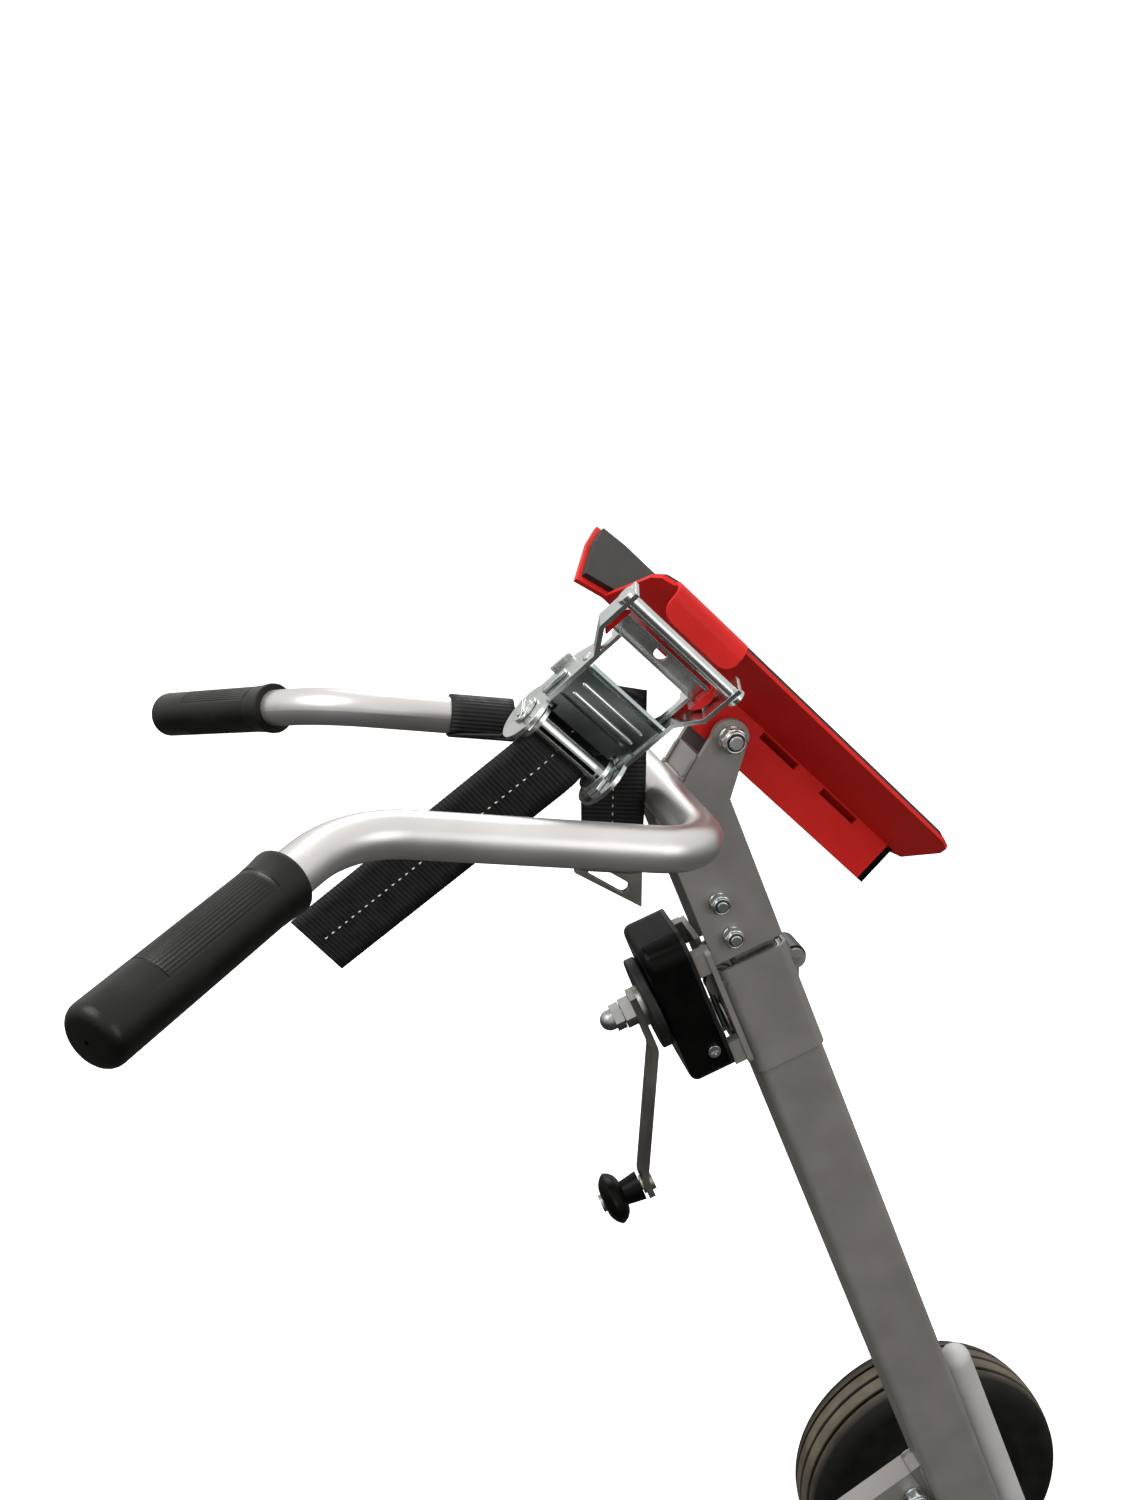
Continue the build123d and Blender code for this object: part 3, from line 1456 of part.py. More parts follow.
# Webbing: the loose tail out of the spindle, the fixed strap on the buckle's bolt, the loop
# on the left arm.
tail_turn = radians(tail_drop)
tail_start = spot(buckle, 0, -spindle_diameter / 2 - tail_clear, 0)
tail_way = buckle.y_dir * -cos(tail_turn) + buckle.z_dir * -sin(tail_turn)
tail_way = (tail_way + buckle.x_dir * -sin(radians(tail_skew))).normalized()
tail_width = (buckle.x_dir - tail_way * buckle.x_dir.dot(tail_way)).normalized()

with BuildPart() as strap_tail:
    with BuildSketch(Plane(origin=tail_start, x_dir=tail_width, z_dir=tail_way)):
        Rectangle(webbing_width, webbing_thickness)
    extrude(amount=tail_length)

hang_out = strap_bolt / 2 + 0.3 + webbing_thickness / 2
hang_width = webbing_width - 8
hang_cross = (0.25, 0.968, 0)

with BuildPart() as strap_hang:
    with BuildSketch(level(buckle, -strap_bolt_inset + 4, 0, strap_bolt_reach + hang_out)):
        Rectangle(base_inner - 3, webbing_thickness)
    with BuildSketch(level(buckle, -strap_bolt_inset - hang_clear, 0, strap_bolt_reach + hang_out)):
        Rectangle(base_inner - 3, webbing_thickness)
    for x, z in ((hang_side, hang_knee), (hang_side - 4, hang_foot)):
        place = pivot + Vector(x, hang_centre, z)
        with BuildSketch(Plane(origin=place, x_dir=hang_cross, z_dir=(0, 0, 1))):
            Rectangle(hang_width, webbing_thickness)
    loft(ruled=True)

loop_run = (arm_start.Y - pivot.Y - loop_back) / cos(rise)
loop_centre = mirrored(arm_start + arm_direction * loop_run)
loop_outer = bar_diameter + 2 * (webbing_thickness + 0.2)

with BuildPart() as strap_loop:
    add(
        ring(
            Plane(origin=loop_centre - arm_direction * (webbing_width / 2), z_dir=arm_direction),
            loop_outer,
            bar_diameter + 0.4,
            webbing_width,
        )
    )
    run_start = loop_centre + Vector(0, sin(rise), cos(rise)) * (bar_radius + 0.2 + webbing_thickness / 2)
    run_end = spot(buckle, 0, 0, -spindle_diameter / 2 - 1.5)
    with BuildSketch(Plane(origin=run_start, x_dir=arm_direction * -1, z_dir=(1, 0, 0))):
        Rectangle(webbing_width, webbing_thickness)
    with BuildSketch(Plane(origin=run_end, x_dir=buckle.x_dir, z_dir=(1, 0, 0))):
        Rectangle(webbing_width - 4, webbing_thickness)
    loft(ruled=True)

nodes = {
    "tyre_right": tyre_right,
    "tyre_left": tyre_left,
    "rim_right": rim_right,
    "rim_left": rim_left,
    "wheel_axle": wheel_axle,
    "axle_tube": axle_tube,
    "axle_caps": axle_caps,
    "outer_mast": outer_mast,
    "mast_collar": mast_collar,
    "cylinder_rest_tube": cylinder_rest_tube,
    "support_strut": support_strut,
    "strut_tongue": strut_tongue,
    "strut_bolts": strut_bolts,
    "castor_plate": castor_plate,
    "castor_housing": castor_housing,
    "castor_wheel": castor_wheel,
    "castor_axle": castor_axle,
    "inner_mast": inner_mast,
    "slide_liner": slide_liner,
    "slide_shoe": slide_shoe,
    "fork_head": fork_head,
    "fork_bolts": fork_bolts,
    "handlebar": handlebar,
    "grip_right": grip_right,
    "grip_left": grip_left,
    "strap_eye": strap_eye,
    "winch_mount": winch_mount,
    "winch_base": winch_base,
    "winch_cover": winch_cover,
    "cover_screws": cover_screws,
    "crank_shaft": crank_shaft,
    "load_ratchet": load_ratchet,
    "load_pawl": load_pawl,
    "brake_disc": brake_disc,
    "crank_arm": crank_arm,
    "crank_nuts": crank_nuts,
    "crank_knob": crank_knob,
    "knob_pin": knob_pin,
    "rope_drum": rope_drum,
    "drum_gear": drum_gear,
    "lift_rope": lift_rope,
    "rope_pulley": rope_pulley,
    "guide_roller": guide_roller,
    "guide_bracket": guide_bracket,
    "roller_pins": roller_pins,
    "cradle_beam": cradle_beam,
    "beam_end_cap": beam_end_cap,
    "pivot_bush": pivot_bush,
    "cradle_plate": cradle_plate,
    "cradle_liners": cradle_liners,
    "buckle_spindle": buckle_spindle,
    "tooth_discs": tooth_discs,
    "buckle_base": buckle_base,
    "strap_rivet": strap_rivet,
    "lock_slide": lock_slide,
    "buckle_handle": buckle_handle,
    "release_slide": release_slide,
    "strap_tail": strap_tail,
    "strap_hang": strap_hang,
    "strap_loop": strap_loop,
}

os.makedirs("parts", exist_ok=True)
for name, piece in nodes.items():
    piece.part.label = name
    export_step(piece.part, f"parts/{name}.step")
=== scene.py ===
import bmesh
import bpy
from math import atan2, ceil, cos, pi, radians, sin
from mathutils import Matrix, Vector


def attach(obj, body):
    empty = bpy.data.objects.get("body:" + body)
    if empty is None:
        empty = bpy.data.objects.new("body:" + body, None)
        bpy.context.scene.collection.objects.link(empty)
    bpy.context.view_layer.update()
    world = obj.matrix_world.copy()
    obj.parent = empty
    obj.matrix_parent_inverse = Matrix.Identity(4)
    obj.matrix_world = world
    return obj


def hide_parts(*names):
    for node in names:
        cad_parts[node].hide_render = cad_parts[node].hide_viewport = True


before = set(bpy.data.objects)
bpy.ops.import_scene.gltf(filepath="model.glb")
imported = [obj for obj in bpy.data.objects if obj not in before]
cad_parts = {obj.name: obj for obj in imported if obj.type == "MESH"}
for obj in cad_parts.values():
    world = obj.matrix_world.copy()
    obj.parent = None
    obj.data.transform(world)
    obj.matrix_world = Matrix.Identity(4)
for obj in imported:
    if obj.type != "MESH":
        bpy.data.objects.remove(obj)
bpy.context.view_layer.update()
scene = bpy.context.scene


# Studio: a white floor that curves up into a round backdrop, so that no edge shows behind the
# trolley. The surround is bright above and dark below, which gives plated metal its contrast,
# and three large soft lamps light the trolley from above.
def turned(bm, profile, steps, weld_within=1e-6):
    # Spins a profile of points, each so far along Z and so far out from it.
    ring = [bm.verts.new((out, 0, along)) for along, out in profile]
    lines = [bm.edges.new(pair) for pair in zip(ring, ring[1:])]
    bmesh.ops.spin(bm, geom=ring + lines, angle=2 * pi, steps=steps, axis=(0, 0, 1), cent=(0, 0, 0),
                   use_merge=True)
    bmesh.ops.remove_doubles(bm, verts=bm.verts, dist=weld_within)
    bmesh.ops.recalc_face_normals(bm, faces=bm.faces)


backdrop_profile = [(0, 0), (0, 3.2), (0.08, 3.7), (0.32, 4.1), (0.75, 4.35), (1.4, 4.45), (4.2, 4.45)]
bm = bmesh.new()
turned(bm, backdrop_profile, 96, weld_within=0.0001)
backdrop_mesh = bpy.data.meshes.new("backdrop")
bm.to_mesh(backdrop_mesh)
bm.free()
backdrop_mesh.shade_smooth()
backdrop = bpy.data.objects.new("backdrop", backdrop_mesh)
scene.collection.objects.link(backdrop)
pale = bpy.data.materials.new("pale_floor")
pale.use_nodes = True
floor_shader = pale.node_tree.nodes["Principled BSDF"]
floor_shader.inputs["Base Color"].default_value = (0.92, 0.92, 0.915, 1)
floor_shader.inputs["Roughness"].default_value = 0.9
floor_shader.inputs["Emission Color"].default_value = (1, 1, 1, 1)
floor_shader.inputs["Emission Strength"].default_value = 0.56
backdrop_mesh.materials.append(pale)
backdrop.visible_glossy = False
backdrop.visible_diffuse = False

surround = bpy.data.worlds.new("surround")
surround.use_nodes = True
sky, wires = surround.node_tree.nodes, surround.node_tree.links
way_up = sky.new("ShaderNodeSeparateXYZ")
wires.new(sky.new("ShaderNodeTexCoord").outputs["Generated"], way_up.inputs["Vector"])
lift_up = sky.new("ShaderNodeMapRange")
lift_up.inputs["From Min"].default_value = -1
wires.new(way_up.outputs["Z"], lift_up.inputs["Value"])
shade = sky.new("ShaderNodeValToRGB")
shade.color_ramp.elements[0].position = 0.3
shade.color_ramp.elements[0].color = (0.07, 0.068, 0.065, 1)
shade.color_ramp.elements[1].position = 0.95
shade.color_ramp.elements[1].color = (1, 0.99, 0.975, 1)
for height, tone in ((0.5, 0.40), (0.62, 0.78)):
    level = shade.color_ramp.elements.new(height)
    level.color = (tone, tone * 0.99, tone * 0.97, 1)
wires.new(lift_up.outputs["Result"], shade.inputs["Fac"])
wires.new(shade.outputs["Color"], sky["Background"].inputs["Color"])
sky["Background"].inputs["Strength"].default_value = 1.15
scene.world = surround
lamps_aim = Vector((0, -0.05, 0.85))
for name, spot, across, power in (
    ("key_lamp", (0.7, -1.7, 2.7), 1.8, 32),
    ("fill_lamp", (2.4, 1.2, 1.5), 1.6, 12),
    ("back_lamp", (-1.6, 0.5, 2.4), 1.4, 20),
):
    lamp = bpy.data.lights.new(name, "AREA")
    lamp.shape = "DISK"
    lamp.size = across
    lamp.energy = power
    holder = bpy.data.objects.new(name, lamp)
    holder.location = spot
    holder.rotation_euler = (lamps_aim - Vector(spot)).to_track_quat("-Z", "Y").to_euler()
    scene.collection.objects.link(holder)
scene.view_settings.view_transform = "Standard"

# Camera: at head height on the operator's right, a little behind the handlebar, looking forward
# and down so that the grip comes close and the wheel is cut by the picture's foot.
camera = bpy.data.objects.new("camera", bpy.data.cameras.new("camera"))
camera.data.sensor_width = 36
camera.data.lens = 34.09
turn, tilt = radians(78.38), radians(16.29)
toward = Vector((-sin(turn) * cos(tilt), cos(turn) * cos(tilt), -sin(tilt)))
camera.location = (0.8940, -0.3068, 1.2128)
camera.rotation_euler = toward.to_track_quat("-Z", "Y").to_euler()
camera.data.clip_start = 0.02
scene.collection.objects.link(camera)
scene.camera = camera


# Wheels: solid black rubber tyres with round ribs, grey-brown with dust on the tread, pressed on
# zinc plated steel rims whose grey drifts from bluish to straw.
def finish(name, dark, light, grain, metallic, gloss, relief, speck=900, gleam=0.5, edge=0.0005):
    # Two tones drift into each other in soft clouds, and the gloss drifts with them.
    material = bpy.data.materials.new(name)
    material.use_nodes = True
    nodes, links = material.node_tree.nodes, material.node_tree.links
    shader = nodes["Principled BSDF"]
    shader.inputs["Metallic"].default_value = metallic
    shader.inputs["Specular IOR Level"].default_value = gleam
    place = nodes.new("ShaderNodeTexCoord")
    place.name = "place"
    cloud = nodes.new("ShaderNodeTexNoise")
    cloud.inputs["Scale"].default_value = grain
    cloud.inputs["Detail"].default_value = 5
    links.new(place.outputs["Object"], cloud.inputs["Vector"])
    spread = nodes.new("ShaderNodeMapRange")
    spread.inputs["From Min"].default_value = 0.32
    spread.inputs["From Max"].default_value = 0.68
    links.new(cloud.outputs["Fac"], spread.inputs["Value"])
    tint = nodes.new("ShaderNodeMix")
    tint.name = "tint"
    tint.data_type = "RGBA"
    tint.inputs["A"].default_value = (*dark, 1)
    tint.inputs["B"].default_value = (*light, 1)
    links.new(spread.outputs["Result"], tint.inputs["Factor"])
    links.new(tint.outputs["Result"], shader.inputs["Base Color"])
    polish = nodes.new("ShaderNodeMapRange")
    polish.inputs["To Min"].default_value = gloss[0]
    polish.inputs["To Max"].default_value = gloss[1]
    links.new(spread.outputs["Result"], polish.inputs["Value"])
    links.new(polish.outputs["Result"], shader.inputs["Roughness"])
    fine = nodes.new("ShaderNodeTexNoise")
    fine.inputs["Scale"].default_value = speck
    fine.inputs["Detail"].default_value = 3
    links.new(place.outputs["Object"], fine.inputs["Vector"])
    bump = nodes.new("ShaderNodeBump")
    bump.inputs["Strength"].default_value = relief
    bump.inputs["Distance"].default_value = 0.0004
    links.new(fine.outputs["Fac"], bump.inputs["Height"])
    if edge:
        soft_edge = nodes.new("ShaderNodeBevel")
        soft_edge.samples = 4
        soft_edge.inputs["Radius"].default_value = edge
        links.new(soft_edge.outputs["Normal"], bump.inputs["Normal"])
    links.new(bump.outputs["Normal"], shader.inputs["Normal"])
    return material


def dress(material, *names):
    # Gives their finish to CAD nodes that are shown as they are.
    for name in names:
        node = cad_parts[name]
        node.data.materials.clear()
        node.data.materials.append(material)


tyre_rubber = finish("tyre_rubber", dark=(0.005, 0.005, 0.0046), light=(0.011, 0.0106, 0.0095), grain=60,
                     metallic=0, gloss=(0.55, 0.8), relief=0.5, speck=1400, gleam=0.14)
axle_spot = Vector((0, 0.28, 0.13))
dust_from, dust_full = 0.1258, 0.1298
rubber_nodes, rubber_links = tyre_rubber.node_tree.nodes, tyre_rubber.node_tree.links
across_wheel = rubber_nodes.new("ShaderNodeVectorMath")
across_wheel.operation = "MULTIPLY"
across_wheel.inputs[1].default_value = (0, 1, 1)
rubber_links.new(rubber_nodes["place"].outputs["Object"], across_wheel.inputs[0])
off_axle = rubber_nodes.new("ShaderNodeVectorMath")
off_axle.operation = "DISTANCE"
off_axle.inputs[1].default_value = axle_spot
rubber_links.new(across_wheel.outputs["Vector"], off_axle.inputs[0])
tread = rubber_nodes.new("ShaderNodeMapRange")
tread.inputs["From Min"].default_value = dust_from
tread.inputs["From Max"].default_value = dust_full
rubber_links.new(off_axle.outputs["Value"], tread.inputs["Value"])
streak = rubber_nodes.new("ShaderNodeTexNoise")
streak.inputs["Scale"].default_value = 30
streak.inputs["Detail"].default_value = 6
rubber_links.new(rubber_nodes["place"].outputs["Object"], streak.inputs["Vector"])
dust = rubber_nodes.new("ShaderNodeMath")
dust.operation = "MULTIPLY"
rubber_links.new(tread.outputs["Result"], dust.inputs[0])
rubber_links.new(streak.outputs["Fac"], dust.inputs[1])
dusty = rubber_nodes.new("ShaderNodeMix")
dusty.data_type = "RGBA"
dusty.inputs["B"].default_value = (0.225, 0.192, 0.145, 1)
rubber_links.new(dust.outputs["Value"], dusty.inputs["Factor"])
rubber_links.new(rubber_nodes["tint"].outputs["Result"], dusty.inputs["A"])
rubber_links.new(dusty.outputs["Result"], rubber_nodes["Principled BSDF"].inputs["Base Color"])
zinc_look = {"dark": (0.50, 0.56, 0.565), "light": (0.69, 0.70, 0.675), "grain": 26, "metallic": 1,
             "gloss": (0.17, 0.3), "relief": 0.018, "speck": 1600, "edge": 0.0006}
zinc_plate = finish("zinc_plate", **zinc_look)
dress(tyre_rubber, "tyre_right", "tyre_left")
dress(zinc_plate, "rim_right", "rim_left", "axle_caps")

# Axle: a plain steel rod in a cross tube that passes through the mast's foot. The cross tube and the
# rest tube on the mast's front are round steel tube in matt silver paint.
matt_silver = finish("matt_silver", dark=(0.47, 0.465, 0.455), light=(0.54, 0.535, 0.525), grain=18,
                     metallic=0.15, gloss=(0.55, 0.68), relief=0.15, speck=2600)
plain_steel = finish("plain_steel", dark=(0.32, 0.32, 0.32), light=(0.44, 0.44, 0.43), grain=40,
                     metallic=1, gloss=(0.24, 0.4), relief=0.08, speck=1500)
dress(plain_steel, "wheel_axle")
dress(matt_silver, "axle_tube", "cylinder_rest_tube")

# Outer mast: 50 mm square steel tube with a collar round its top, sprayed in a warm metallic grey
# together with the brackets, the winch's mounting plate and the strut that are fixed to it.
grey_paint = finish("grey_paint", dark=(0.25, 0.238, 0.223), light=(0.285, 0.271, 0.255), grain=30,
                    metallic=0.35, gloss=(0.38, 0.5), relief=0.2, speck=2400)
dress(grey_paint, "outer_mast", "mast_collar", "guide_bracket", "winch_mount")
dress(grey_paint, "support_strut", "strut_tongue", "castor_plate")


# Mast welds: rippled beads laid round the cross tube, in short stitches down both sides of the rest
# tube, and down both sides of the strut's tongue, all under the paint.
def settle(bm, name, body, material, slot, *stands_for, crease=35):
    # Makes a mesh one of the trolley's pieces, which rides on a body and may stand for CAD nodes.
    mesh = bpy.data.meshes.new(name)
    bm.to_mesh(mesh)
    bm.free()
    mesh.materials.append(material)
    mesh.shade_smooth()
    mesh.set_sharp_from_angle(angle=radians(crease))
    piece = bpy.data.objects.new(name, mesh)
    scene.collection.objects.link(piece)
    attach(piece, body)
    if stands_for:
        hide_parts(*stands_for)
    return piece


def facing(spot, along, up):
    # A place whose Z points along the work and whose X points up from it.
    z = Vector(along).normalized()
    x = (Vector(up) - z * z.dot(Vector(up))).normalized()
    turn = Matrix((x, z.cross(x), z)).transposed()
    return Matrix.Translation(spot) @ turn.to_4x4()


def drop(into, part, place):
    # Moves a part to its place and joins it to a larger mesh.
    bmesh.ops.transform(part, matrix=place, verts=part.verts)
    carrier = bpy.data.meshes.new("carrier")
    part.to_mesh(carrier)
    part.free()
    into.from_mesh(carrier)
    bpy.data.meshes.remove(carrier)


# A bead's ripples overlap like fish scales; bend is the radius of the tube that it goes round.
def weld(into, length, place, size=0.0022, bend=0):
    ripple, ripple_depth, taper = 0.0021, 0.12, 6
    steps = ceil(length / ripple * 4)
    profile = [(0, 0)]
    for step in range(1, steps):
        along = step / steps
        swell = min(1, taper * along, taper * (1 - along)) ** 0.5
        scale = 1 - ripple_depth + ripple_depth * abs(sin(pi * along * length / ripple))
        profile.append((along * length, size * swell * scale))
    profile.append((length, 0))
    bead = bmesh.new()
    turned(bead, profile, 10)
    if bend:
        for vert in bead.verts:
            sweep, out = vert.co.z / bend, bend + vert.co.x
            vert.co = (out * cos(sweep), vert.co.y, out * sin(sweep))
    drop(into, bead, place)


mast_lean, mast_half = radians(22.3), 0.025
mast = Matrix.Translation(axle_spot) @ Matrix.Rotation(mast_lean, 4, "X")
mast_front, mast_up = mast.col[1].xyz, mast.col[2].xyz
cross_tube_round = 0.0172
stitch_aside, stitch_forward, stitch_length, stitch_heights = 0.0068, 0.0263, 0.04, (0.02, 0.13, 0.24)
tongue_aside, tongue_foot, tongue_length = 0.0078, 0.167, 0.037
bm = bmesh.new()
for side in (1, -1):
    around_tube = mast @ Matrix.Translation((side * mast_half, 0, 0)) @ Matrix.Rotation(pi / 2, 4, "Z")
    weld(bm, 2 * pi * cross_tube_round, around_tube, bend=cross_tube_round)
    for low in stitch_heights:
        stitch = Vector((side * stitch_aside, stitch_forward, low))
        weld(bm, stitch_length, facing(mast @ stitch, mast_up, mast_front))
    seam = Vector((side * tongue_aside, -mast_half, tongue_foot))
    weld(bm, tongue_length, facing(mast @ seam, mast_up, mast_front), size=0.0025)
settle(bm, "mast_welds", "frame", grey_paint, "grey_paint", crease=60)


# Strut bolts: two zinc plated hexagon bolts with washers and self-locking nuts, whose round collars
# hold a dark nylon ring against the thread.
def hexagonal(bm, flat):
    # Presses the sides of a round head in to six flats.
    for vert in bm.verts:
        off_flat = (atan2(vert.co.y, vert.co.x) + pi / 6) % (pi / 3) - pi / 6
        limit = flat / cos(off_flat)
        if vert.co.xy.length > limit:
            vert.co.xy *= limit / vert.co.xy.length


# A bolt with its nut on the +X side, through plates whose outer faces stand half away from the
# centre. Profiles go along and out, in shares of the thread's size.
def bolted(into, rings, centre, up, size, half, washer):
    across, flat, corner, bore = Vector((1, 0, 0)), 0.825 * size, 0.96 * size, 0.5 * size
    nut = [(0, 0.5), (0, 0.86), (0.06, 0.96), (0.66, 0.96), (0.73, 0.86), (0.75, 0.78), (0.92, 0.78)]
    nut += [(0.99, 0.73), (1.0, 0.66), (0.97, 0.61), (0.9, 0.585), (0.9, 0.49), (1.1, 0.49), (1.15, 0.43)]
    nut += [(1.15, 0)]
    head = [(0, 0.5), (0, 0.86), (0.05, 0.96), (0.55, 0.96), (0.65, 0.78), (0.65, 0.62), (0.6, 0.57)]
    head += [(0.6, 0)]
    shank = [(-2 * half / size, 0), (-2 * half / size, 0.49)]
    for profile, way in ((shank + nut, 1), (head, -1)):
        part = bmesh.new()
        turned(part, [(along * size, min(out * size, corner)) for along, out in profile], 48)
        hexagonal(part, flat)
        drop(into, part, facing(centre + across * way * (half + washer), across * way, up))
        lip, out = 0.0003, 0.9 * size
        part = bmesh.new()
        turned(part, [(0, bore), (0, out - lip), (lip, out), (washer - lip, out), (washer, out - lip),
                      (washer, bore), (0, bore)], 40)
        drop(into, part, facing(centre + across * way * half, across * way, up))
    foot, top, ring_out = 0.9 * size, 0.96 * size, 0.585 * size
    part = bmesh.new()
    turned(part, [(foot, bore), (top, bore), (0.955 * size, ring_out), (foot, ring_out), (foot, bore)], 40)
    drop(rings, part, facing(centre + across * (half + washer), across, up))


ring_nylon = finish("ring_nylon", dark=(0.012, 0.012, 0.014), light=(0.02, 0.02, 0.022), grain=300,
                    metallic=0, gloss=(0.4, 0.5), relief=0.1, edge=0)
strut = Matrix.Translation((0, 0.174, 0.284)) @ Matrix.Rotation(radians(123.6), 4, "X")
bolt_gap = 0.042
bm, rings = bmesh.new(), bmesh.new()
for along in (0, bolt_gap):
    bolted(bm, rings, strut @ Vector((0, 0, along)), strut.col[1].xyz, size=0.010, half=0.010, washer=0.002)
settle(bm, "strut_fasteners", "frame", zinc_plate, "zinc", "strut_bolts", crease=30)
settle(rings, "strut_nut_rings", "frame", ring_nylon, "nylon")

# Castor: a zinc plated steel fork that swivels under a plate on the strut's end, with a solid black
# rubber wheel on its axle bolt.
black_rubber = finish("black_rubber", dark=(0.0085, 0.0085, 0.008), light=(0.0135, 0.013, 0.0125), grain=70,
                      metallic=0, gloss=(0.36, 0.5), relief=0.3, speck=1500, gleam=0.35)
dress(zinc_plate, "castor_housing", "castor_axle")
dress(black_rubber, "castor_wheel")

# Slide: a bare steel inner mast on white nylon guides inside the outer one, lifted by a steel rope
# over a pulley. A rubber roller turns on a steel pin in front of the collar.
nylon = finish("nylon", dark=(0.74, 0.73, 0.69), light=(0.82, 0.81, 0.77), grain=40,
               metallic=0, gloss=(0.45, 0.6), relief=0.1)
dress(nylon, "slide_liner", "slide_shoe")
dress(plain_steel, "inner_mast", "lift_rope", "rope_pulley", "roller_pins")
dress(black_rubber, "guide_roller")

# Winch: a moulded black cover on a black base plate, with a black brake disc outside it and a flat
# steel crank that carries a moulded mushroom knob.
black_plastic = finish("black_plastic", dark=(0.0022, 0.0022, 0.002), light=(0.0036, 0.0036, 0.0033),
                       grain=50, metallic=0, gloss=(0.2, 0.3), relief=0.1, speck=1100, gleam=0.08)
black_paint = finish("black_paint", dark=(0.006, 0.006, 0.006), light=(0.011, 0.011, 0.0105), grain=60,
                     metallic=0, gloss=(0.34, 0.48), relief=0.2, speck=1300, gleam=0.3)
crank_steel = finish("crank_steel", dark=(0.30, 0.285, 0.25), light=(0.41, 0.395, 0.36), grain=35,
                     metallic=1, gloss=(0.28, 0.42), relief=0.08, speck=1500)
dress(black_plastic, "winch_cover", "crank_knob", "beam_end_cap")
dress(black_paint, "winch_base", "brake_disc")
dress(plain_steel, "crank_shaft", "load_ratchet", "load_pawl", "rope_drum", "drum_gear", "crank_nuts")
dress(crank_steel, "crank_arm", "knob_pin")
dress(zinc_plate, "cover_screws")

# Fork head: two grey plates clamped on the inner mast by two bolts, with a pivot bolt for the cradle
# at the top. The sloping web between them is welded in along its sides and its foot, with a blob where
# each bead starts, and the handlebar is welded to the outer faces of both plates.
dress(grey_paint, "fork_head")
fork_half, fork_outer = 0.021, 0.026
bm, rings = bmesh.new(), bmesh.new()
for back, height, size, washer in ((-0.0077, 0.769, 0.008, 0.0016), (-0.0077, 0.741, 0.008, 0.0016),
                                   (0.041, 0.875, 0.010, 0.002)):
    bolted(bm, rings, mast @ Vector((0, back, height)), mast_front, size, fork_outer, washer)
settle(bm, "fork_fasteners", "lift", zinc_plate, "zinc", "fork_bolts", crease=30)
settle(rings, "fork_nut_rings", "lift", ring_nylon, "nylon")

web_foot, web_top = Vector((0, 0.001, 0.860)), Vector((0, 0.017, 0.872))
web_way = mast.to_3x3() @ (web_top - web_foot)
side_back, foot_back, bead_up, blob_length, blob_before = -0.0005, -0.0012, 0.0006, 0.006, 0.002
bar_back, bar_height, bar_radius, bead_arc = -0.015, 0.860, 0.014, radians(121)
bm = bmesh.new()
for side in (1, -1):
    seam = mast @ (web_foot + Vector((side * fork_half, side_back, bead_up)))
    weld(bm, web_way.length, facing(seam, web_way, (1, 0, 0)), size=0.0019)
    blob_spot = seam - web_way.normalized() * blob_before
    weld(bm, blob_length, facing(blob_spot, web_way, (1, 0, 0)), size=0.0029)
    under_bar = mast @ Matrix.Translation((side * (fork_outer + 0.0002), bar_back, bar_height))
    under_bar = under_bar @ Matrix.Rotation(pi / 2, 4, "Z") @ Matrix.Rotation(bead_arc, 4, "Y")
    weld(bm, bead_arc * bar_radius, under_bar, size=0.002, bend=bar_radius + 0.0004)
foot_seam = mast @ (web_foot + Vector((-fork_half, foot_back, bead_up)))
weld(bm, 2 * fork_half, facing(foot_seam, (1, 0, 0), mast_front), size=0.0026)
settle(bm, "fork_welds", "lift", grey_paint, "grey_paint", crease=60)

# Handlebar: one bent 28 mm steel tube in satin silver, with a slotted strap eye welded under its right arm
# along both edges of the plate. The strap eye and its welds are given the darker crank steel finish as
# painted shade, for the shade they sit in under the arm.
silver_paint = finish("silver_paint", dark=(0.62, 0.605, 0.59), light=(0.70, 0.685, 0.67), grain=18,
                      metallic=0.8, gloss=(0.28, 0.38), relief=0.16, speck=2600)
dress(silver_paint, "handlebar")
# Painted shade: the strap eye gets the darker crank steel finish for the shade under the arm.
dress(crank_steel, "strap_eye")
arm_way = Vector((0, -0.991, 0.134)).normalized()
arm_up = Vector((0, 0.134, 0.991)).normalized()
eye_seam, eye_half, eye_length = Vector((0.142, -0.1055, 0.9125)), 0.0026, 0.039
bm = bmesh.new()
for side in (1, -1):
    place = facing(eye_seam + Vector((side * eye_half, 0, 0)), arm_way, arm_up)
    weld(bm, eye_length, place, size=0.0016)
# Painted shade: the eye's welds share its darker crank steel finish.
settle(bm, "strap_eye_welds", "lift", crank_steel, "silver_tube", crease=60)

# Grips: soft black sleeves pushed on the bar's two ends. Each has a flared collar, two panels of
# fine lengthwise ribs between short cross lines, and a rounded closed end with a vent hole.
grip_rubber = finish("grip_rubber", dark=(0.0038, 0.0038, 0.003), light=(0.0066, 0.0064, 0.0052), grain=45,
                     metallic=0, gloss=(0.26, 0.38), relief=0.25, speck=1300, gleam=0.3, edge=0)
grip_tip = Vector((0.28827, -0.39669, 0.91039))
grip_way = Vector((0.754, -0.626, -0.199)).normalized()
grip_length, grip_radius, end_round, end_wall = 0.138, 0.0178, 0.007, 0.004
rib_count, rib_depth, rib_start, rib_end, rib_panel = 52, 0.00038, 0.023, 0.099, radians(54)
line_spots, line_depth, within = (0.0175, rib_end + 0.0013), 0.0005, 0.0002
grip_profile = [(0, bar_radius), (0, 0.0187), (0.0005, 0.0192), (0.0024, 0.0193), (0.0036, 0.0191)]
grip_profile += [(0.0075, 0.0186), (0.012, 0.0182), (0.0167, 0.0180)]
sleeve_spots = (line_spots[0], 0.0184, rib_start - 0.0008, rib_start, 0.048, 0.073, rib_end,
                rib_end + 0.0008, line_spots[1], line_spots[1] + 0.0005, 0.118)
grip_profile += [(along, grip_radius) for along in sleeve_spots]
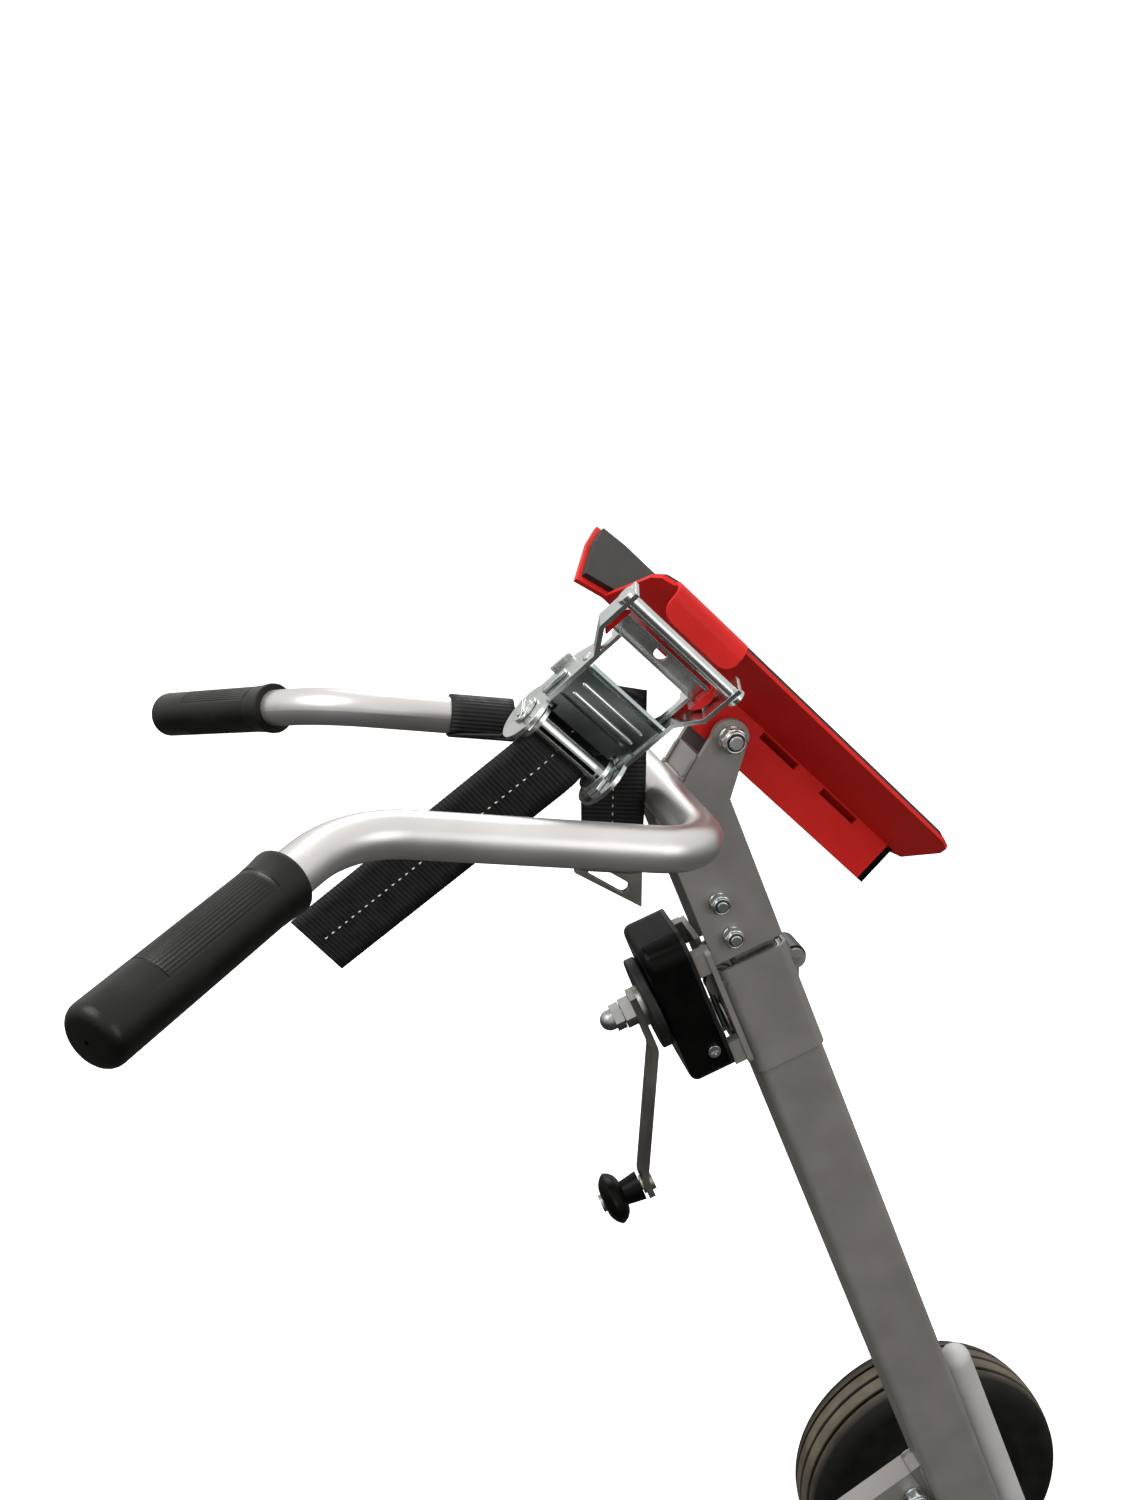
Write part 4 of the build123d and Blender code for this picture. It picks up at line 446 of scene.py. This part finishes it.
for step in range(7):
    bend = step / 6 * pi / 2
    along = grip_length + end_wall - end_round + end_round * sin(bend)
    grip_profile.append((along, grip_radius - end_round + end_round * cos(bend)))
grip_profile += [(grip_length + 0.0046, 0.004), (grip_length + 0.0047, 0.0013), (grip_length + 0.002, 0.001)]
grip_profile += [(grip_length + 0.0015, 0)]
for side, hand in ((1, "right"), (-1, "left")):
    bm = bmesh.new()
    turned(bm, grip_profile, rib_count * 4)
    for vert in bm.verts:
        around = atan2(vert.co.y, vert.co.x)
        on_panel = abs(cos(around)) > cos(rib_panel) and vert.co.xy.length > bar_radius + 0.001
        if on_panel and rib_start - within < vert.co.z < rib_end + within:
            vert.co.xy *= 1 - rib_depth / grip_radius * (0.5 - 0.5 * cos(around * rib_count))
        elif on_panel and min(abs(vert.co.z - spot) for spot in line_spots) < within:
            vert.co.xy *= 1 - line_depth / grip_radius
    way = Vector((side * grip_way.x, grip_way.y, grip_way.z))
    tip = Vector((side * grip_tip.x, grip_tip.y, grip_tip.z))
    bmesh.ops.transform(bm, matrix=facing(tip - way * grip_length, way, (0, 0, 1)), verts=bm.verts)
    settle(bm, hand + "_hand_grip", "lift", grip_rubber, "black_rubber", "grip_" + hand)

# Cradle: a red powder coated channel and folded V plate, lined with two dark rubber sheets. The
# channel turns on the fork's pivot bolt with a steel bush.
red_paint = finish("red_paint", dark=(0.60, 0.0165, 0.0135), light=(0.70, 0.0215, 0.0175), grain=24,
                   metallic=0, gloss=(0.36, 0.46), relief=0.25, speck=700, gleam=0.14)
liner_rubber = finish("liner_rubber", dark=(0.021, 0.020, 0.019), light=(0.032, 0.030, 0.029), grain=45,
                      metallic=0, gloss=(0.55, 0.7), relief=0.4, speck=1200, gleam=0.35)
dress(red_paint, "cradle_beam", "cradle_plate")
dress(plain_steel, "pivot_bush")
dress(liner_rubber, "cradle_liners")

# Ratchet buckle: pressed and zinc plated steel. The spindle carries the tooth discs and is held by
# a split pin at each end. The handle has two stamped ribs and riveted arms, the release slide has red
# end pads and bar ends that stand out through the arms, and the base has two stop tabs under them.
dress(zinc_plate, "buckle_spindle", "tooth_discs", "buckle_base", "strap_rivet",
      "lock_slide", "release_slide")
head_turn = Matrix.Rotation(radians(46.7), 4, "X")
buckle_spot = Vector((0.058, -0.132566, 0.966456))
buckle_axes = Matrix(((0, 0.317, 0.948), (0, 0.948, -0.317), (-1, 0, 0))).to_4x4()
buckle = Matrix.Translation(buckle_spot) @ head_turn @ buckle_axes
buckle_cross, buckle_along, buckle_out = (Vector(axis) for axis in buckle.to_3x3().col)

# The plate between the handle's arms is painted darker and bluer than the arms: painted shade and painted
# dark reflection, for the handle's own shade and the dark surroundings the plate faces.
handle_zinc_painted_shade = finish("handle_zinc_painted_shade", **zinc_look)
plate_half, plate_reach, plate_fade = 0.030, 0.060, 0.002
plated, plated_links = handle_zinc_painted_shade.node_tree.nodes, handle_zinc_painted_shade.node_tree.links
from_spindle = plated.new("ShaderNodeVectorMath")
from_spindle.operation = "SUBTRACT"
from_spindle.inputs[1].default_value = buckle_spot
plated_links.new(plated["place"].outputs["Object"], from_spindle.inputs[0])
off_plate = plated.new("ShaderNodeMath")
off_plate.operation = "MAXIMUM"
for axis, limit, socket in ((buckle_cross, plate_half, 0), (buckle_along, plate_reach, 1)):
    reach = plated.new("ShaderNodeVectorMath")
    reach.operation = "DOT_PRODUCT"
    reach.inputs[1].default_value = axis
    plated_links.new(from_spindle.outputs["Vector"], reach.inputs[0])
    either_way = plated.new("ShaderNodeMath")
    either_way.operation = "ABSOLUTE"
    plated_links.new(reach.outputs["Value"], either_way.inputs[0])
    beyond = plated.new("ShaderNodeMapRange")
    beyond.inputs["From Min"].default_value = limit
    beyond.inputs["From Max"].default_value = limit + plate_fade
    plated_links.new(either_way.outputs["Value"], beyond.inputs["Value"])
    plated_links.new(beyond.outputs["Result"], off_plate.inputs[socket])
# Painted shade: the base colour turns to a dark bluish grey on the plate between the arms.
plate_painted_shade = plated.new("ShaderNodeMix")
plate_painted_shade.data_type = "RGBA"
plate_painted_shade.inputs["A"].default_value = (0.20, 0.235, 0.235, 1)
plated_links.new(off_plate.outputs["Value"], plate_painted_shade.inputs["Factor"])
plated_links.new(plated["tint"].outputs["Result"], plate_painted_shade.inputs["B"])
plated_links.new(plate_painted_shade.outputs["Result"], plated["Principled BSDF"].inputs["Base Color"])
dress(handle_zinc_painted_shade, "buckle_handle")


def slab(into, low, high, place, round_by):
    part = bmesh.new()
    low, high = Vector(low), Vector(high)
    size = Matrix.Diagonal((*(high - low), 1))
    bmesh.ops.create_cube(part, size=1, matrix=Matrix.Translation((low + high) / 2) @ size)
    bmesh.ops.bevel(part, geom=part.edges, offset=round_by, segments=2, profile=0.5, affect="EDGES",
                    material=-1)
    drop(into, part, place)


# A smooth line near the points, or a round wire along it where a radius is given.
def bent_line(points, steps, radius=0):
    curve = bpy.data.curves.new("bent_line", "CURVE")
    curve.dimensions = "3D"
    spline = curve.splines.new("NURBS")
    spline.points.add(len(points) - 1)
    for knot, point in zip(spline.points, points):
        knot.co = (*point, 1)
    spline.order_u = 3
    spline.use_endpoint_u = True
    spline.resolution_u = steps
    curve.bevel_depth = radius
    curve.bevel_resolution = 2
    curve.use_fill_caps = True
    holder = bpy.data.objects.new("bent_line", curve)
    mesh = bpy.data.meshes.new_from_object(holder)
    bpy.data.objects.remove(holder)
    bpy.data.curves.remove(curve)
    return mesh


def wire(into, points, radius, place):
    line = bent_line(points, 6, radius)
    part = bmesh.new()
    part.from_mesh(line)
    bpy.data.meshes.remove(line)
    bmesh.ops.remove_doubles(part, verts=part.verts, dist=1e-6)
    bmesh.ops.recalc_face_normals(part, faces=part.faces)
    drop(into, part, place)


pin_at, pin_thick = 0.0372, 0.0008
pin_points = [(-0.0024, -0.0125), (-0.001, -0.0105), (-0.0008, 0), (-0.0009, 0.0075), (-0.0028, 0.0095)]
pin_points += [(-0.0024, 0.0125), (0.0024, 0.0125), (0.0028, 0.0095), (0.0009, 0.0075), (0.0008, 0)]
pin_points += [(0.001, -0.0105), (0.0034, -0.0125)]
bm = bmesh.new()
for side in (1, -1):
    wire(bm, [(side * pin_at, aside, up) for aside, up in pin_points], pin_thick, buckle)
settle(bm, "spindle_split_pins", "spindle", zinc_plate, "zinc", crease=50)

arm_outer, plate_face = 0.0347, 0.0065
rivet_dome = [(0, 0.0033), (0.0005, 0.0032), (0.001, 0.0025), (0.0013, 0.0013), (0.0014, 0)]
stamp_length, stamp_rows, stamp_sunk = 0.052, (0.032, 0.0405), 0.0003
stamp_profile = [(0, 0), (0.0004, 0.0009), (0.0013, 0.0015), (0.0024, 0.0017)]
stamp_profile += [(stamp_length - along, out) for along, out in reversed(stamp_profile)]
bm = bmesh.new()
for row in stamp_rows:
    part = bmesh.new()
    turned(part, stamp_profile, 16)
    stamp_end = buckle @ Vector((-stamp_length / 2, row, plate_face - stamp_sunk))
    drop(bm, part, facing(stamp_end, buckle_cross, buckle_out))
for side in (1, -1):
    part = bmesh.new()
    turned(part, rivet_dome, 24)
    dome_spot = buckle @ Vector((side * arm_outer, 0.053, 0.001))
    drop(bm, part, facing(dome_spot, buckle_cross * side, buckle_out))
settle(bm, "handle_pressings", "buckle lever", zinc_plate, "zinc")

for name, body, inner, outer, low, high, round_by in (
    ("release_bar_ends", "release", arm_outer + 0.0003, arm_outer + 0.0026,
     (0.0165, -0.0036), (0.0365, 0.0012), 0.0005),
    ("base_stop_tabs", "lift", 0.0280, 0.0385, (0.024, -0.0203), (0.040, -0.0175), 0.0008),
):
    bm = bmesh.new()
    for side in (1, -1):
        left, right = sorted((side * inner, side * outer))
        slab(bm, (left, *low), (right, *high), buckle, round_by)
    settle(bm, name, body, zinc_plate, "zinc")

pad_red = finish("pad_red", dark=(0.56, 0.008, 0.008), light=(0.64, 0.012, 0.011), grain=40,
                 metallic=0, gloss=(0.22, 0.32), relief=0.1, gleam=0.4)
pad_middle, pad_back, pad_low, pad_start = 0.0295, 0.0817, -0.0098, 0.0362
pad_radius, pad_thick, pad_edge = 0.013, 0.009, 0.001
pad_profile = [(0, 0), (0, pad_radius - pad_edge), (pad_edge, pad_radius)]
pad_profile += [(pad_thick - pad_edge, pad_radius), (pad_thick, pad_radius - pad_edge), (pad_thick, 0)]
bm = bmesh.new()
for side in (1, -1):
    part = bmesh.new()
    turned(part, pad_profile, 48)
    pad_place = Matrix.Translation((side * pad_middle, pad_back, pad_low))
    bmesh.ops.transform(part, matrix=pad_place, verts=part.verts)
    bmesh.ops.bisect_plane(part, geom=part.verts[:] + part.edges[:] + part.faces[:], dist=1e-6,
                           plane_co=(side * pad_start, 0, 0), plane_no=(side, 0, 0), clear_inner=True)
    bmesh.ops.holes_fill(part, edges=[edge for edge in part.edges if edge.is_boundary])
    bmesh.ops.recalc_face_normals(part, faces=part.faces)
    drop(bm, part, buckle)
settle(bm, "release_end_pads", "release", pad_red, "red_paint")

# Strap: black polyester webbing, 48 mm wide, woven with ribs across and a white tracer thread down
# its middle. It is sewn round the left arm, runs to the buckle's spindle and leaves it as a loose
# tail; a second short length hangs from the buckle's rivet.
webbing = finish("webbing", dark=(0.0045, 0.0045, 0.0045), light=(0.011, 0.011, 0.0108), grain=120,
                 metallic=0, gloss=(0.5, 0.7), relief=0.5, speck=1500, gleam=0.4, edge=0)
thread = finish("tracer_thread", dark=(0.70, 0.69, 0.66), light=(0.82, 0.81, 0.78), grain=300,
                metallic=0, gloss=(0.6, 0.75), relief=0.3, speck=2500, edge=0)
strap_width, strap_thick, weave_pitch, weave_rise = 0.048, 0.0015, 0.00295, 0.00042
dash_pitch, dash_size = 0.0059, (0.0033, 0.0012, 0.0031)


def strap(name, points, crosses, widths, stands_for, tracer_from=0.004):
    route = bent_line(points, 24)
    line = [vert.co.copy() for vert in route.vertices]
    bpy.data.meshes.remove(route)
    marks = [0]
    for here, there in zip(line, line[1:]):
        marks.append(marks[-1] + (there - here).length)
    length = marks[-1]

    def along(reach):
        index = next((i for i, mark in enumerate(marks[1:], 1) if mark >= reach), len(marks) - 1)
        share = (reach - marks[index - 1]) / (marks[index] - marks[index - 1])
        centre = line[index - 1].lerp(line[index], share)
        before, after = line[max(index - 2, 0)], line[min(index + 1, len(line) - 1)]
        way = (after - before).normalized()
        stage = reach / length * (len(crosses) - 1)
        low = min(int(stage), len(crosses) - 2)
        cross = Vector(crosses[low]).lerp(Vector(crosses[low + 1]), stage - low)
        cross = (cross - way * cross.dot(way)).normalized()
        width = widths[0] + (widths[1] - widths[0]) * reach / length
        return centre, way, cross, width

    bm = bmesh.new()
    uv = bm.loops.layers.uv.new("weave")
    rows = ceil(length / weave_pitch * 6)
    bmesh.ops.create_grid(bm, x_segments=rows, y_segments=6, size=0.5, calc_uvs=True)
    for vert in bm.verts:
        reach, aside = (vert.co.x + 0.5) * length, vert.co.y
        centre, way, cross, width = along(reach)
        rise = weave_rise * (abs(cos(pi * reach / weave_pitch)) - 0.5)
        vert.co = centre + cross * aside * width + way.cross(cross) * rise
    for face in bm.faces:
        for loop in face.loops:
            loop[uv].uv = (loop[uv].uv.x * length, loop[uv].uv.y * widths[0])
    piece = settle(bm, name, "lift", webbing, "webbing", stands_for, crease=80)
    wall = piece.modifiers.new("thickness", "SOLIDIFY")
    wall.thickness = strap_thick
    wall.offset = 0
    bm = bmesh.new()
    for index in range(int((length - tracer_from) / dash_pitch)):
        centre, way, cross, _ = along(tracer_from + index * dash_pitch)
        turn = Matrix((way, cross, way.cross(cross))).transposed().to_4x4()
        place = Matrix.Translation(centre) @ turn @ Matrix.Diagonal((*dash_size, 1))
        bmesh.ops.create_uvsphere(bm, u_segments=8, v_segments=5, radius=0.5, matrix=place)
    dashes = settle(bm, name + "_tracer", "lift", thread, "webbing", crease=60)


pivot = Vector((0, -0.014091, 0.955116))
tail_way = Vector((-0.181, -0.743, -0.644)).normalized()
tail_cross = Vector((-0.018, 0.658, -0.753))
tail_out = buckle @ Vector((0, -0.0105, 0))
tail_points = [buckle @ Vector((0, 0.002, -0.0079)), buckle @ Vector((0, -0.005, -0.0076))]
tail_points += [tail_out + tail_way * reach for reach in (0.004, 0.03, 0.075, 0.12, 0.165, 0.205)]
strap("strap_loose_tail", tail_points, [buckle_cross, tail_cross, tail_cross], (strap_width, strap_width),
      "strap_tail")

# A bent line runs inside its points, so they stand a little outside the rivet and the arm.
rivet_y, rivet_z, rivet_bend = 0.034, -0.024, 0.0055 * 1.06
hang_back, hang_foot_width = -0.0805, 0.040
hang_points = []
for angle in (200, 150, 100, 50, 0):
    out, up = cos(radians(angle)) * rivet_bend, sin(radians(angle)) * rivet_bend
    hang_points.append(buckle @ Vector((0, rivet_y + out, rivet_z + up)))
hang_points.append(buckle @ Vector((0, 0.0393, -0.038)))
for out, down in ((0.028, -0.02), (0.027, -0.045), (0.0248, -0.083)):
    hang_points.append(pivot + Vector((out, hang_back, down)))
hang_cross = Vector((0.25, 0.968, 0))
strap("strap_short_hang", hang_points, [buckle_cross, buckle_cross, hang_cross, hang_cross],
      (strap_width, hang_foot_width), "strap_hang")

loop_centre = Vector((-0.142, -0.15809, 0.93322))
loop_round, loop_slack = bar_radius + 0.0012, 1.12
run_end = buckle @ Vector((0, 0, -0.0082))
loop_foot = loop_centre - arm_up * loop_round
loop_points = []
for angle in range(240, 541, 50):
    bend = radians(angle)
    outward = arm_up * cos(bend) - Vector((1, 0, 0)) * sin(bend)
    loop_points.append(loop_centre + outward * loop_round * loop_slack)
loop_points += [loop_foot.lerp(run_end, share) for share in (0.14, 0.4, 0.7, 1)]
loop_points.append(buckle @ Vector((0, 0.013, -0.0115)))
strap("strap_arm_loop", loop_points, [-arm_way, -arm_way, -arm_way, -arm_way, buckle_cross],
      (strap_width, strap_width), "strap_loop",
      tracer_from=0.13)
